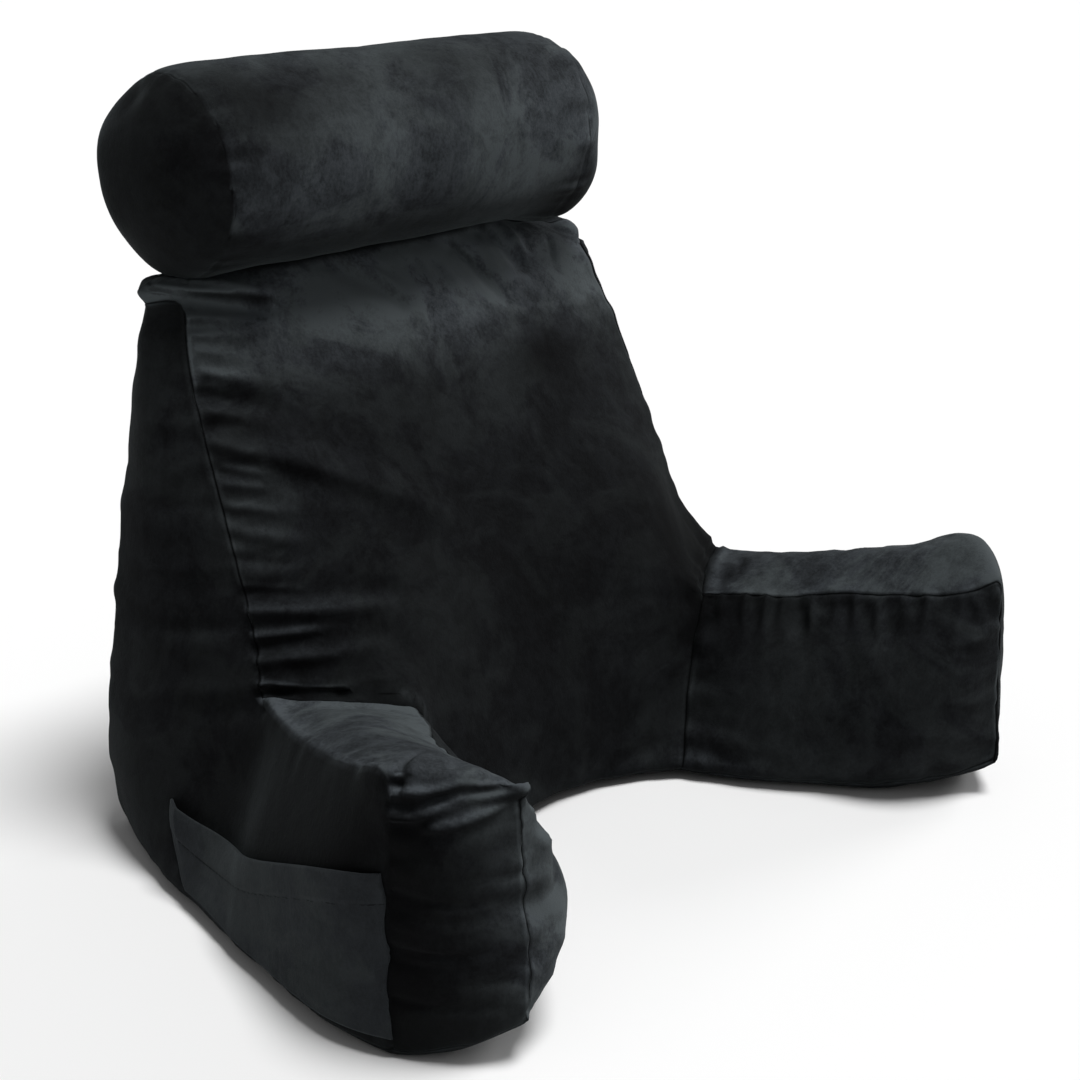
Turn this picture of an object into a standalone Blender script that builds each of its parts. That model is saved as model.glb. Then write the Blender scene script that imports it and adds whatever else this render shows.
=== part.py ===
"""Reading pillow with arms: a filled back with two splayed arms, a neck roll and a side pocket.

Units are metres, +Z is up and the origin is on the floor. The pillow faces -Y: its front panel
leans back towards +Y, and its arms reach towards -Y. One half of the cover is modelled at +X and
mirrored. The cover is a lattice of soft cells: columns i run outwards from the middle, layers j
run from the arm tips (j = -ARM_CELLS) through the front panel (j = 0) to the rear panel (j = 2),
and levels k run up from the floor.
"""
import math
from itertools import product

import bmesh
import bpy
from mathutils import Vector
from mathutils.geometry import intersect_point_line

OBJECT_NAME = "reading_pillow"

COVER_COLOUR = (0.020, 0.024, 0.026)
POCKET_COLOUR = (0.030, 0.034, 0.036)
VELVET_ROUGHNESS = 0.9

# ---- driving sizes ---------------------------------------------------------------------------
FRONT_LEAN = 0.494           # set-back of the front panel for each metre of height
LEAN_START_Y = -0.029        # where the front panel's plane would meet the floor
REAR_Y = 0.266               # upright rear panel
SEAM_LIFT = 0.009            # bottom seams ride this high above the floor
SEAT_GAP = 0.0003            # clearance between neighbouring pieces
CUT_TOLERANCE = 0.00001
FOOTPRINT_CENTRE = (-0.0014, 0.0190)   # middle of the whole pillow, which becomes the origin

# ---- lattice -----------------------------------------------------------------------------------
COLUMNS = 5                  # cells from the middle to the side seam
DEPTH_CELLS = 2              # cells from the front panel to the rear panel
ARM_COLUMN = 3               # the arm grows from columns 3 to 5
ARM_LEVEL = 2                # the arm is two cells tall
ARM_CELLS = 4                # cells along the arm

# One row for each level of the back, floor first:
# height, half width at the front seam, half width at the rear seam, crown of the front panel,
# how far the arm's root pulls the front panel forward.
BACK_ROWS = (
    (0.000, 0.374, 0.317, 0.000, 0.000),
    (0.095, 0.342, 0.328, 0.028, 0.000),
    (0.183, 0.297, 0.317, 0.044, 0.000),
    (0.235, 0.285, 0.309, 0.046, 0.020),
    (0.290, 0.279, 0.299, 0.044, 0.010),
    (0.350, 0.274, 0.287, 0.040, 0.003),
    (0.410, 0.268, 0.276, 0.034, 0.000),
    (0.465, 0.258, 0.263, 0.024, 0.000),
    (0.512, 0.2445, 0.250, 0.006, 0.000),
)
TOP_LEVEL = len(BACK_ROWS) - 1
FRONT_DOME_POWER = 2.5       # how flat the middle of the front panel's crown is

# One row for each station along the arm, root first, tip last:
# inner floor x, y, z, inner top x, y, z, outer top x, y, z, outer floor x, y.
ARM_ROWS = (
    (0.130, -0.052, 0.009, 0.208, -0.014, 0.172, 0.297, 0.062, 0.183, 0.374, 0.062),
    (0.165, -0.117, 0.009, 0.238, -0.084, 0.178, 0.322, -0.010, 0.184, 0.386, -0.012),
    (0.210, -0.176, 0.009, 0.268, -0.152, 0.189, 0.347, -0.080, 0.197, 0.397, -0.086),
    (0.250, -0.230, 0.013, 0.295, -0.256, 0.208, 0.375, -0.165, 0.221, 0.402, -0.160),
    (0.318, -0.294, 0.036, 0.322, -0.2825, 0.218, 0.390, -0.214, 0.230, 0.389, -0.213),
)

# Share of the crowns below at each station, root to tip.
ARM_SWELL = (0.0, 0.8, 1.0, 1.0, 0.3)
ARM_TOP_CROWN = 0.018        # height of the band's middle above its two seams
ARM_TIP_CROWN = 0.016        # swelling of the band down the tip
ARM_INNER_CROWN = 0.032      # swelling of the inner arm panel into the seat
ARM_OUTER_CROWN = 0.014      # swelling of the outer side panel along the arm
SIDE_CROWN = 0.020           # swelling of the outer side panel beside the back
SIDE_FLOOR_CROWN = 0.008     # swelling of its bottom seam
REAR_CROWN = 0.022           # swelling of the rear panel
TOP_CROWN = 0.022            # swelling of the top strip
CORNER_PINCH = 0.012         # lift of the pinched rear top corners
TIP_LIFT = 0.014             # middle of the tip's bottom edge
TIP_EDGE_SHARE = 0.3         # share of the tip's swelling at its top and bottom edges
BELLY_DEPTH = 0.010          # how far the filled underside would reach below the floor
CENTRE_FLOOR_Y = 0.002       # front panel's bottom seam in the middle

# One row for each main fold: start x, y, z, end x, y, z, depth (a ridge is negative), half width.
MAIN_FOLDS = (
    (-0.253, 0.236, 0.513, -0.168, 0.209, 0.498, -0.007, 0.010),
    (-0.238, 0.218, 0.502, -0.183, 0.204, 0.489, 0.006, 0.011),
    (-0.255, 0.178, 0.423, -0.209, 0.161, 0.414, 0.004, 0.012),
    (-0.253, 0.154, 0.380, -0.195, 0.128, 0.365, -0.005, 0.014),
    (-0.195, 0.128, 0.365, -0.077, 0.074, 0.300, -0.004, 0.018),
    (-0.278, 0.098, 0.261, -0.163, 0.046, 0.252, 0.005, 0.014),
    (-0.284, 0.079, 0.223, -0.179, 0.022, 0.219, 0.005, 0.014),
    (-0.079, 0.221, 0.515, -0.024, 0.186, 0.476, 0.005, 0.013),
    (0.076, 0.216, 0.509, 0.106, 0.183, 0.469, 0.005, 0.013),
    (0.125, 0.227, 0.522, 0.153, 0.202, 0.490, 0.005, 0.013),
    (-0.386, -0.221, 0.229, -0.345, -0.236, 0.237, 0.007, 0.012),
    (-0.368, -0.249, 0.220, -0.330, -0.270, 0.228, 0.006, 0.012),
    (-0.388, -0.219, 0.133, -0.323, -0.282, 0.132, 0.004, 0.014),
    (-0.388, -0.216, 0.086, -0.324, -0.283, 0.085, 0.004, 0.014),
    (0.194, -0.016, 0.166, 0.237, -0.007, 0.180, 0.006, 0.012),
    (0.229, -0.117, 0.157, 0.236, -0.102, 0.120, 0.004, 0.013),
    (0.258, -0.203, 0.167, 0.262, -0.195, 0.125, 0.004, 0.013),
)

CREASE_CORNER = 0.72         # seams where the cover turns outwards
CREASE_VALLEY = 0.85         # seams in the hollow between back and arm
CREASE_FLOOR = 0.45          # bottom seams, softer
SLAB_WIDTH = 2.0             # slab below the floor, which flattens the underside
SLAB_DEPTH = 0.1
SMOOTH_LEVELS = 2
FIT_ROUNDS = 6               # times that the cage is moved towards its own smoothed surface

# ---- neck roll ---------------------------------------------------------------------------------
ROLL_CENTRE = (-0.020, 0.240, 0.616)
ROLL_TURN_STEPS = 36
ROLL_SLOPE = 0.034           # rise towards +X for each metre
ROLL_SAG = 0.003             # the ends stand this much above the middle
# One row for each ring, from the middle to the cap's centre: distance from the middle, radius.
ROLL_ROWS = (
    (0.000, 0.0932),
    (0.040, 0.0938),
    (0.080, 0.0940),
    (0.120, 0.0935),
    (0.155, 0.0925),
    (0.185, 0.0910),
    (0.203, 0.0888),
    (0.212, 0.0868),
    (0.228, 0.0815),
    (0.243, 0.0680),
    (0.256, 0.0460),
    (0.262, 0.0230),
    (0.264, 0.0000),
)

# ---- side pocket -------------------------------------------------------------------------------
POCKET_THICKNESS = 0.0025
POCKET_SIDE_X = -0.30        # the side panel lies outside this
POCKET_FRONT_Y = -0.209
POCKET_REAR_Y = 0.128
POCKET_BOTTOM_Z = 0.018
POCKET_MOUTH_FRONT_Z = 0.157
POCKET_MOUTH_REAR_Z = 0.080
POCKET_MOUTH_SAG = 0.014
POCKET_MOUTH_STEPS = 6


def clear_scene():
    """Remove whatever the new file holds."""
    for item in list(bpy.data.objects):
        bpy.data.objects.remove(item, do_unlink=True)


def new_collection(name):
    """Return a new collection linked to the scene."""
    collection = bpy.data.collections.new(name)
    bpy.context.scene.collection.children.link(collection)
    return collection


def cloth_material(name, colour):
    """Return a Principled material in the cloth's colour."""
    material = bpy.data.materials.new(name)
    material.use_nodes = True
    shader = material.node_tree.nodes["Principled BSDF"]
    shader.inputs["Base Color"].default_value = (*colour, 1.0)
    shader.inputs["Roughness"].default_value = VELVET_ROUGHNESS
    shader.inputs["Metallic"].default_value = 0.0
    return material


def hump(share):
    """Return a rounded hump that is 0 at both ends and 1 in the middle."""
    return 4.0 * share * (1.0 - share)


def outer_hump(share):
    """Return a hump that is 0 at both ends and 1 two thirds of the way out."""
    return 6.75 * share ** 2 * (1.0 - share)


def flat_dome(share, power=4.0):
    """Return a dome that stays near 1 and falls to 0 at the seam."""
    return 1.0 - share ** power


def front_plane_y(height):
    """Return the y of the front panel's plane at a height."""
    return LEAN_START_Y + FRONT_LEAN * height


# ---- lattice nodes -----------------------------------------------------------------------------
def arm_node(i, station, k):
    """Return a node of the arm: i from inner to outer side, station from root to tip."""
    row = ARM_ROWS[station]
    floor_inner, top_inner, top_outer = Vector(row[0:3]), Vector(row[3:6]), Vector(row[6:9])
    floor_outer = Vector((*row[9:11], SEAM_LIFT))
    rise = k / ARM_LEVEL
    across = (i - ARM_COLUMN) / (COLUMNS - ARM_COLUMN)
    point = floor_inner.lerp(floor_outer, across).lerp(top_inner.lerp(top_outer, across), rise)
    outwards = Vector((floor_outer.x - floor_inner.x, floor_outer.y - floor_inner.y, 0.0)).normalized()
    forwards = Vector((outwards.y, -outwards.x, 0.0))
    swell = ARM_SWELL[station]
    at_tip = station == ARM_CELLS
    if k == ARM_LEVEL:
        point.z += ARM_TOP_CROWN * hump(across) * swell
    if k == 0:
        lowest = TIP_LIFT if at_tip else -BELLY_DEPTH
        point.z += (lowest - point.z) * hump(across)
    if at_tip:
        return point + forwards * ARM_TIP_CROWN * hump(across) * max(hump(rise), TIP_EDGE_SHARE)
    if across == 0.0:
        point -= outwards * ARM_INNER_CROWN * hump(rise) * swell
    if across == 1.0:
        point += outwards * ARM_OUTER_CROWN * hump(rise) * swell
    return point


def front_node(i, k):
    """Return a node of the front panel, or of the arm's root below the arm's top."""
    height, seam_x, _, crown, root_pull = BACK_ROWS[k]
    if k > ARM_LEVEL:
        share = i / COLUMNS
        swelling = crown * flat_dome(share, FRONT_DOME_POWER) + root_pull * outer_hump(share)
        return Vector((seam_x * share, front_plane_y(height) - swelling, height))
    if i >= ARM_COLUMN:
        return arm_node(i, 0, k)
    # Below the arm's top the front panel ends at the arm's inner root.
    root = arm_node(ARM_COLUMN, 0, k)
    share = i / ARM_COLUMN
    centre_y = CENTRE_FLOOR_Y if k == 0 else front_plane_y(height) - crown
    lift = SEAM_LIFT if k == 0 else height
    return Vector((root.x * share, centre_y + (root.y - centre_y) * share ** 2, lift))


def rear_node(i, k):
    """Return a node of the rear panel."""
    height, _, rear_x, _, _ = BACK_ROWS[k]
    share = i / COLUMNS
    rise = k / TOP_LEVEL
    point = Vector((rear_x * share, REAR_Y + REAR_CROWN * flat_dome(share) * hump(rise), height))
    if k == 0:
        point.z = SEAM_LIFT
    if (i, k) == (COLUMNS, TOP_LEVEL):
        point.z += CORNER_PINCH
    return point


def back_node(i, j, k):
    """Return a node of the back: i from the middle outwards, j from front to rear."""
    depth = j / DEPTH_CELLS
    point = front_node(i, k).lerp(rear_node(i, k), depth)
    inside = flat_dome(i / COLUMNS) * hump(depth)
    if i == COLUMNS:
        point.x += (SIDE_CROWN if k > 0 else SIDE_FLOOR_CROWN) * hump(depth)
    if k == TOP_LEVEL:
        point.z += TOP_CROWN * inside
    if k == 0:
        point.z -= (SEAM_LIFT + BELLY_DEPTH) * inside
    return point


def lattice_node(i, j, k):
    """Return a node of the whole half, arm or back."""
    if j < 0:
        return arm_node(i, -j, k)
    return back_node(i, j, k)


def lattice_cells():
    """Return the lowest corner of every cell of the half."""
    cells = {(i, j, k) for i in range(COLUMNS) for j in range(DEPTH_CELLS)
             for k in range(TOP_LEVEL)}
    cells |= {(i, j, k) for i in range(ARM_COLUMN, COLUMNS) for j in range(-ARM_CELLS, 0)
              for k in range(ARM_LEVEL)}
    return cells


def panel_name(axis, sign, cell):
    """Return the cover's panel that a cell's outer face belongs to."""
    i, j, k = cell
    if axis == 1:
        if sign > 0:
            return "rear"
        return "front" if j == 0 else "band"
    if axis == 0:
        return "side" if sign > 0 else "inner"
    if sign < 0:
        return "underside"
    return "band" if j < 0 else "top"


def outer_faces(cells):
    """Yield each outer face of the cells as (panel, four nodes), turned outwards."""
    for cell, axis, sign in product(sorted(cells), range(3), (-1, 1)):
        neighbour = list(cell)
        neighbour[axis] += sign
        on_mirror_plane = axis == 0 and neighbour[0] < 0
        if tuple(neighbour) in cells or on_mirror_plane:
            continue
        # The two axes after this one, in turn, make a right-handed frame with it.
        first, second = (axis + 1) % 3, (axis + 2) % 3
        corners = []
        for u, v in ((0, 0), (1, 0), (1, 1), (0, 1)):
            node = list(cell)
            node[axis] += (sign + 1) // 2
            node[first] += u
            node[second] += v
            corners.append(tuple(node))
        yield panel_name(axis, sign, cell), corners if sign > 0 else corners[::-1]


def seam_crease(panels):
    """Return the crease weight of an edge from the panels on its two sides."""
    if len(panels) < 2:
        return 0.0
    if "underside" in panels:
        return CREASE_FLOOR
    if "front" in panels and panels & {"band", "inner"}:
        return CREASE_VALLEY
    return CREASE_CORNER


def build_cage(name, collection):
    """Return the half cage as an object, and each of its vertices' target place."""
    mesh = bpy.data.meshes.new(name)
    cage = bmesh.new()
    crease = cage.edges.layers.float.new("crease_edge")
    nodes = {}
    panels_of_face = {}
    for panel, corners in outer_faces(lattice_cells()):
        for node in corners:
            if node not in nodes:
                nodes[node] = cage.verts.new(lattice_node(*node))
        face = cage.faces.new([nodes[node] for node in corners])
        face.smooth = True
        panels_of_face[face] = panel
    for edge in cage.edges:
        panels = {panels_of_face[face] for face in edge.link_faces}
        edge[crease] = seam_crease(panels)
    cage.verts.index_update()
    targets = [vert.co.copy() for vert in cage.verts]
    cage.to_mesh(mesh)
    cage.free()
    pillow = bpy.data.objects.new(name, mesh)
    collection.objects.link(pillow)
    return pillow, targets


def evaluated_points(item):
    """Return the places of the object's evaluated vertices."""
    graph = bpy.context.evaluated_depsgraph_get()
    graph.update()
    return [vert.co.copy() for vert in item.evaluated_get(graph).data.vertices]


def fit_cage(item, targets):
    """Move the cage until the smoothed surface passes through the lattice's own nodes."""
    for _ in range(FIT_ROUNDS):
        smoothed = evaluated_points(item)
        for vert, target, place in zip(item.data.vertices, targets, smoothed):
            on_mirror_plane = abs(target.x) < SEAT_GAP
            vert.co += target - place
            if on_mirror_plane:
                vert.co.x = 0.0
        item.data.update()


def cut_away(item, cutter):
    """Cut one object with another."""
    modifier = item.modifiers.new(cutter.name, "BOOLEAN")
    modifier.operation = "DIFFERENCE"
    modifier.solver = "EXACT"
    modifier.object = cutter


def mark_as_cutter(item):
    """Keep a cutter out of renders and draw it as wire."""
    item.hide_render = True
    item.display_type = "WIRE"


def floor_cutter(collection):
    """Return the slab below the floor, which flattens the filled underside."""
    bpy.ops.mesh.primitive_cube_add(size=1.0, location=(0.0, 0.0, -SLAB_DEPTH / 2.0))
    slab = bpy.context.object
    slab.name = "floor_slab"
    slab.scale = (SLAB_WIDTH, SLAB_WIDTH, SLAB_DEPTH)
    bpy.ops.object.transform_apply(location=True, rotation=False, scale=True)
    for owner in list(slab.users_collection):
        owner.objects.unlink(slab)
    collection.objects.link(slab)
    mark_as_cutter(slab)
    return slab


def fold_depth(point):
    """Return how deep the main folds press the cover at a point."""
    depth = 0.0
    for *ends, fold, half_width in MAIN_FOLDS:
        start = Vector(ends[:3])
        end = Vector(ends[3:])
        nearest, share = intersect_point_line(point, start, end)
        if share < 0.0:
            nearest = start
        elif share > 1.0:
            nearest = end
        depth += fold * math.exp(-((point - nearest).length / half_width) ** 2)
    return depth


def press_folds(item):
    """Apply the modifiers, press the main folds and leave flat triangles.

    The pocket is cut from these same triangles, so it lies on them evenly.
    """
    graph = bpy.context.evaluated_depsgraph_get()
    graph.update()
    mesh = bpy.data.meshes.new_from_object(item.evaluated_get(graph))
    cover = bmesh.new()
    cover.from_mesh(mesh)
    cover.normal_update()
    moves = {vert: -vert.normal * fold_depth(vert.co) for vert in cover.verts}
    for vert, move in moves.items():
        vert.co += move
    bmesh.ops.triangulate(cover, faces=cover.faces[:])
    cover.to_mesh(mesh)
    cover.free()
    item.modifiers.clear()
    item.data = mesh


def make_back(parts):
    """Return the filled back with its arms, before it is cut by the floor and the roll."""
    pillow, targets = build_cage("back_with_arms", parts)
    mirror = pillow.modifiers.new("other half", "MIRROR")
    mirror.use_axis = (True, False, False)
    mirror.merge_threshold = 0.0001
    smooth = pillow.modifiers.new("filled form", "SUBSURF")
    smooth.levels = SMOOTH_LEVELS
    smooth.render_levels = SMOOTH_LEVELS
    smooth.boundary_smooth = "ALL"
    fit_cage(pillow, targets)
    press_folds(pillow)
    return pillow


def turned_roll(name, collection, clearance):
    """Return the roll, turned from its profile and sagging on the back's top edge."""
    profile = bpy.data.meshes.new(name)
    outline = bmesh.new()
    right = [(radius, distance) for distance, radius in ROLL_ROWS]
    left = [(radius, -distance) for radius, distance in right[:0:-1]]
    # The profile runs down the outer side, from the right cap's centre to the left one's.
    points = right[::-1] + left[::-1]
    verts = []
    for radius, height in points:
        grown = 0.0 if radius == 0.0 else radius + clearance
        verts.append(outline.verts.new((grown, 0.0, height + math.copysign(clearance, height))))
    for start, end in zip(verts, verts[1:]):
        outline.edges.new((start, end))
    outline.to_mesh(profile)
    outline.free()
    turned = bpy.data.objects.new(name, profile)
    collection.objects.link(turned)
    screw = turned.modifiers.new("turn", "SCREW")
    screw.steps = ROLL_TURN_STEPS
    screw.render_steps = ROLL_TURN_STEPS
    screw.use_merge_vertices = True
    screw.merge_threshold = 0.0001
    graph = bpy.context.evaluated_depsgraph_get()
    graph.update()
    mesh = bpy.data.meshes.new_from_object(turned.evaluated_get(graph))
    bpy.data.objects.remove(turned, do_unlink=True)
    half_length = ROLL_ROWS[-1][0]
    for vert in mesh.vertices:
        # The turning axis becomes the roll's own axis, along X.
        x, y, z = vert.co.z, vert.co.x, vert.co.y
        vert.co = (x, y, z + ROLL_SAG * (x / half_length) ** 2 + ROLL_SLOPE * x)
    mesh.shade_smooth()
    roll = bpy.data.objects.new(name, mesh)
    roll.location = ROLL_CENTRE
    collection.objects.link(roll)
    return roll


def pocket_mouth_z(y):
    """Return the height of the pocket's sagging mouth at a place along the arm."""
    share = (y - POCKET_FRONT_Y) / (POCKET_REAR_Y - POCKET_FRONT_Y)
    straight = POCKET_MOUTH_FRONT_Z + (POCKET_MOUTH_REAR_Z - POCKET_MOUTH_FRONT_Z) * share
    return straight - POCKET_MOUTH_SAG * hump(share)


def bisect(patch, geometry, place, normal, clear_outer=False):
    """Cut a mesh along a plane; clearing drops the side that the normal points to."""
    bmesh.ops.bisect_plane(patch, geom=geometry, dist=CUT_TOLERANCE, plane_co=place,
                           plane_no=normal, clear_outer=clear_outer)


def all_geometry(patch):
    """Return every vertex, edge and face of a mesh."""
    return patch.verts[:] + patch.edges[:] + patch.faces[:]


def make_pocket(pillow, collection):
    """Return the patch pocket, cut from the side panel's own surface and lifted off it."""
    graph = bpy.context.evaluated_depsgraph_get()
    graph.update()
    mesh = bpy.data.meshes.new_from_object(pillow.evaluated_get(graph))
    patch = bmesh.new()
    patch.from_mesh(mesh)
    patch.normal_update()
    lifted = {vert: vert.co + vert.normal * SEAT_GAP for vert in patch.verts}
    for vert, place in lifted.items():
        vert.co = place
    cuts = [((0.0, POCKET_FRONT_Y, 0.0), (0.0, -1.0, 0.0)),
            ((0.0, POCKET_REAR_Y, 0.0), (0.0, 1.0, 0.0)),
            ((0.0, 0.0, POCKET_BOTTOM_Z), (0.0, 0.0, -1.0)),
            ((POCKET_SIDE_X, 0.0, 0.0), (1.0, 0.0, 0.0))]
    for place, normal in cuts:
        bisect(patch, all_geometry(patch), place, normal, clear_outer=True)
    width = (POCKET_REAR_Y - POCKET_FRONT_Y) / POCKET_MOUTH_STEPS
    stops = [POCKET_FRONT_Y + width * step for step in range(POCKET_MOUTH_STEPS + 1)]
    for stop in stops[1:-1]:
        bisect(patch, all_geometry(patch), (0.0, stop, 0.0), (0.0, 1.0, 0.0))
    for start, end in zip(stops, stops[1:]):
        rise = pocket_mouth_z(end) - pocket_mouth_z(start)
        strip = [face for face in patch.faces if start < face.calc_center_median().y < end]
        strip += list({edge for face in strip for edge in face.edges})
        strip += list({vert for face in strip for vert in face.verts})
        bisect(patch, strip, (0.0, start, pocket_mouth_z(start)), (0.0, -rise, width))
    above = [face for face in patch.faces
             if face.calc_center_median().z > pocket_mouth_z(face.calc_center_median().y)]
    bmesh.ops.delete(patch, geom=above, context="FACES")
    patch.to_mesh(mesh)
    patch.free()
    pocket = bpy.data.objects.new("side_pocket", mesh)
    collection.objects.link(pocket)
    thick = pocket.modifiers.new("cloth", "SOLIDIFY")
    thick.thickness = POCKET_THICKNESS
    thick.offset = 1.0
    return pocket


def centre_on_origin():
    """Move everything so that the middle of the footprint is the origin."""
    for item in bpy.data.objects:
        item.location.x -= FOOTPRINT_CENTRE[0]
        item.location.y -= FOOTPRINT_CENTRE[1]


def main():
    """Build the pillow."""
    clear_scene()
    parts = new_collection(OBJECT_NAME)
    cutters = new_collection("cutters")
    pillow = make_back(parts)
    pocket = make_pocket(pillow, parts)
    roll = turned_roll("neck_roll", parts, 0.0)
    trough = turned_roll("roll_trough", cutters, SEAT_GAP)
    mark_as_cutter(trough)
    cut_away(pillow, floor_cutter(cutters))
    cut_away(pillow, trough)
    centre_on_origin()
    pillow.data.materials.append(cloth_material("velvet_cover", COVER_COLOUR))
    roll.data.materials.append(cloth_material("velvet_roll", COVER_COLOUR))
    pocket.data.materials.clear()
    pocket.data.materials.append(cloth_material("velvet_pocket", POCKET_COLOUR))


main()
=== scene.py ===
"""A reading pillow with arms in black short-pile velvet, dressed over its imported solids.

Units are metres and +Z is up. The pillow faces -Y: its front panel leans back towards +Y and its
arms reach towards -Y. The cover is a lattice of soft cells: columns i run outwards from the middle,
layers j from the arm tips through the front panel (0) to the rear panel (2), levels k upwards.
"""

import logging
import math
from collections.abc import Iterator, Sequence
from dataclasses import dataclass
from enum import Enum, IntEnum
from itertools import product
from typing import ClassVar

import bmesh
import bpy
import numpy as np
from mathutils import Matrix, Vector, noise
from mathutils.bvhtree import BVHTree
from mathutils.kdtree import KDTree

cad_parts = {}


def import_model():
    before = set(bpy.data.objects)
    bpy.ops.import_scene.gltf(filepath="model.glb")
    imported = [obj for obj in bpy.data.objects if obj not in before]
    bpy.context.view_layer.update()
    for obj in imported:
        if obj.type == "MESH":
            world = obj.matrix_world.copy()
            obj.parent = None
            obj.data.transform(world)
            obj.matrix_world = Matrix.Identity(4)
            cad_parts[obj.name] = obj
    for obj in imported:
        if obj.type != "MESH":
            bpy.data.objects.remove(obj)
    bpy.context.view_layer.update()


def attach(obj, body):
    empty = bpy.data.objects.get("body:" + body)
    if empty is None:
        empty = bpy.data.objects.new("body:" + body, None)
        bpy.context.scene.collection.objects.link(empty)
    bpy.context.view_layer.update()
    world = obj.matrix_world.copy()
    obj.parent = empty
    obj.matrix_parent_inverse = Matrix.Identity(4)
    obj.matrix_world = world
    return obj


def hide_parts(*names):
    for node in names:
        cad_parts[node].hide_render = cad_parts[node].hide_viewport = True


LOG = logging.getLogger("reading_pillow")
MM = 0.001
SEAT_GAP = 0.3 * MM
LEAST_LENGTH = 0.001 * MM
FOOTPRINT_CENTRE = Vector((-0.0014, 0.0190, 0.0))

Node = tuple[int, int, int]
Colour = tuple[float, float, float]
Row = tuple[float, ...]

INK: Colour = (0.0034, 0.0036, 0.0037)
PILE_LIGHT: Colour = (0.058, 0.067, 0.071)
# Way towards the lights, for the painted light and shade on the folds.
LIT_WAY = (0.15, -0.25, 0.95)


class Panel(IntEnum):
    """The panels that the cover is sewn from."""

    FRONT = 0
    BAND = 1
    INNER = 2
    SIDE = 3
    REAR = 4
    TOP = 5
    UNDERSIDE = 6


class Seen(Enum):
    """The side that a crease is drawn from: the two axes of the drawing, and the way it faces."""

    FRONT = ((0, 2), (0.0, -1.0, 0.0))
    ABOVE = ((0, 1), (0.0, 0.0, 1.0))
    LEFT = ((1, 2), (-1.0, 0.0, 0.0))
    RIGHT = ((1, 2), (1.0, 0.0, 0.0))


# ---- shared shapes and noise ---------------------------------------------------------------------
def hump(share: float) -> float:
    """Return a rounded hump that is 0 at both ends and 1 in the middle."""
    return 4.0 * share * (1.0 - share)


def outer_hump(share: float) -> float:
    """Return a hump that is 0 at both ends and 1 two thirds of the way out."""
    return 6.75 * share ** 2 * (1.0 - share)


def flat_dome(share: float, power: float = 4.0) -> float:
    """Return a dome that stays near 1 and falls to 0 at the seam."""
    return 1.0 - share ** power


def soft_noise(points: np.ndarray, size: float, seed: float = 0.0) -> np.ndarray:
    """Return smooth noise for many points.

    Args:
        points: Places, one row each.
        size: Rough distance between two lumps.
        seed: Shift that gives another pattern.

    Returns:
        One value for each point, from about -1 to 1.
    """
    shift = Vector((seed, 1.7 * seed, -2.3 * seed))
    return np.array([noise.noise(Vector(point) / size + shift) for point in points])


def mesh_points(mesh: bpy.types.Mesh) -> np.ndarray:
    """Return a mesh's vertex places, one row each.

    Args:
        mesh: The mesh to read.

    Returns:
        The places, with columns x, y and z.
    """
    flat = np.empty(len(mesh.vertices) * 3, np.float32)
    mesh.vertices.foreach_get("co", flat)
    return flat.reshape(-1, 3).astype(float)


def mesh_normals(mesh: bpy.types.Mesh) -> np.ndarray:
    """Return a mesh's vertex normals, one row each.

    Args:
        mesh: The mesh to read.

    Returns:
        The normals, with columns x, y and z.
    """
    flat = np.empty(len(mesh.vertices) * 3, np.float32)
    mesh.vertex_normals.foreach_get("vector", flat)
    return flat.reshape(-1, 3).astype(float)


def set_points(mesh: bpy.types.Mesh, points: np.ndarray) -> None:
    """Move a mesh's vertices to new places."""
    mesh.vertices.foreach_set("co", points.astype(np.float32).ravel())
    mesh.update()


def blurred(mesh: bpy.types.Mesh, values: np.ndarray, rounds: int) -> np.ndarray:
    """Return values that are averaged over each vertex's neighbours, round after round.

    Args:
        mesh: Mesh whose edges join the neighbours.
        values: One row for each vertex.
        rounds: How often the values are averaged.

    Returns:
        The averaged values, in the same shape.
    """
    ends = np.empty(len(mesh.edges) * 2, np.int32)
    mesh.edges.foreach_get("vertices", ends)
    first, second = ends.reshape(-1, 2).T
    count = len(values)
    neighbours = np.maximum(np.bincount(ends, minlength=count), 1)
    columns = []
    for column in values.T:
        for _ in range(rounds):
            total = np.bincount(first, column[second], count)
            total += np.bincount(second, column[first], count)
            column = 0.5 * column + 0.5 * total / neighbours
        columns.append(column)
    return np.stack(columns, axis=1)


def evened(values: np.ndarray) -> np.ndarray:
    """Return the inner rows of an array, each evened out with the rows beside it."""
    return 0.25 * values[:-2] + 0.5 * values[1:-1] + 0.25 * values[2:]


def set_attribute(mesh: bpy.types.Mesh, name: str, values: np.ndarray) -> None:
    """Keep one number for each vertex in a named attribute."""
    layer = mesh.attributes.get(name) or mesh.attributes.new(name, "FLOAT", "POINT")
    layer.data.foreach_set("value", values.astype(np.float32))


def face_tree(item: bpy.types.Object) -> BVHTree:
    """Return a search tree over an object's faces."""
    return BVHTree.FromPolygons([vert.co for vert in item.data.vertices],
                                [face.vertices for face in item.data.polygons])


def applied_mesh(item: bpy.types.Object) -> bpy.types.Mesh:
    """Return a new mesh with the object's modifiers applied.

    Args:
        item: Object with modifiers.

    Returns:
        The mesh as the modifiers leave it.
    """
    graph = bpy.context.evaluated_depsgraph_get()
    graph.update()
    return bpy.data.meshes.new_from_object(item.evaluated_get(graph))


def new_object(name: str, mesh: bpy.types.Mesh) -> bpy.types.Object:
    """Return a new object for a mesh, linked to the scene.

    Args:
        name: Name of the object.
        mesh: Its mesh.

    Returns:
        The object.
    """
    item = bpy.data.objects.new(name, mesh)
    bpy.context.scene.collection.objects.link(item)
    return item


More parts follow.
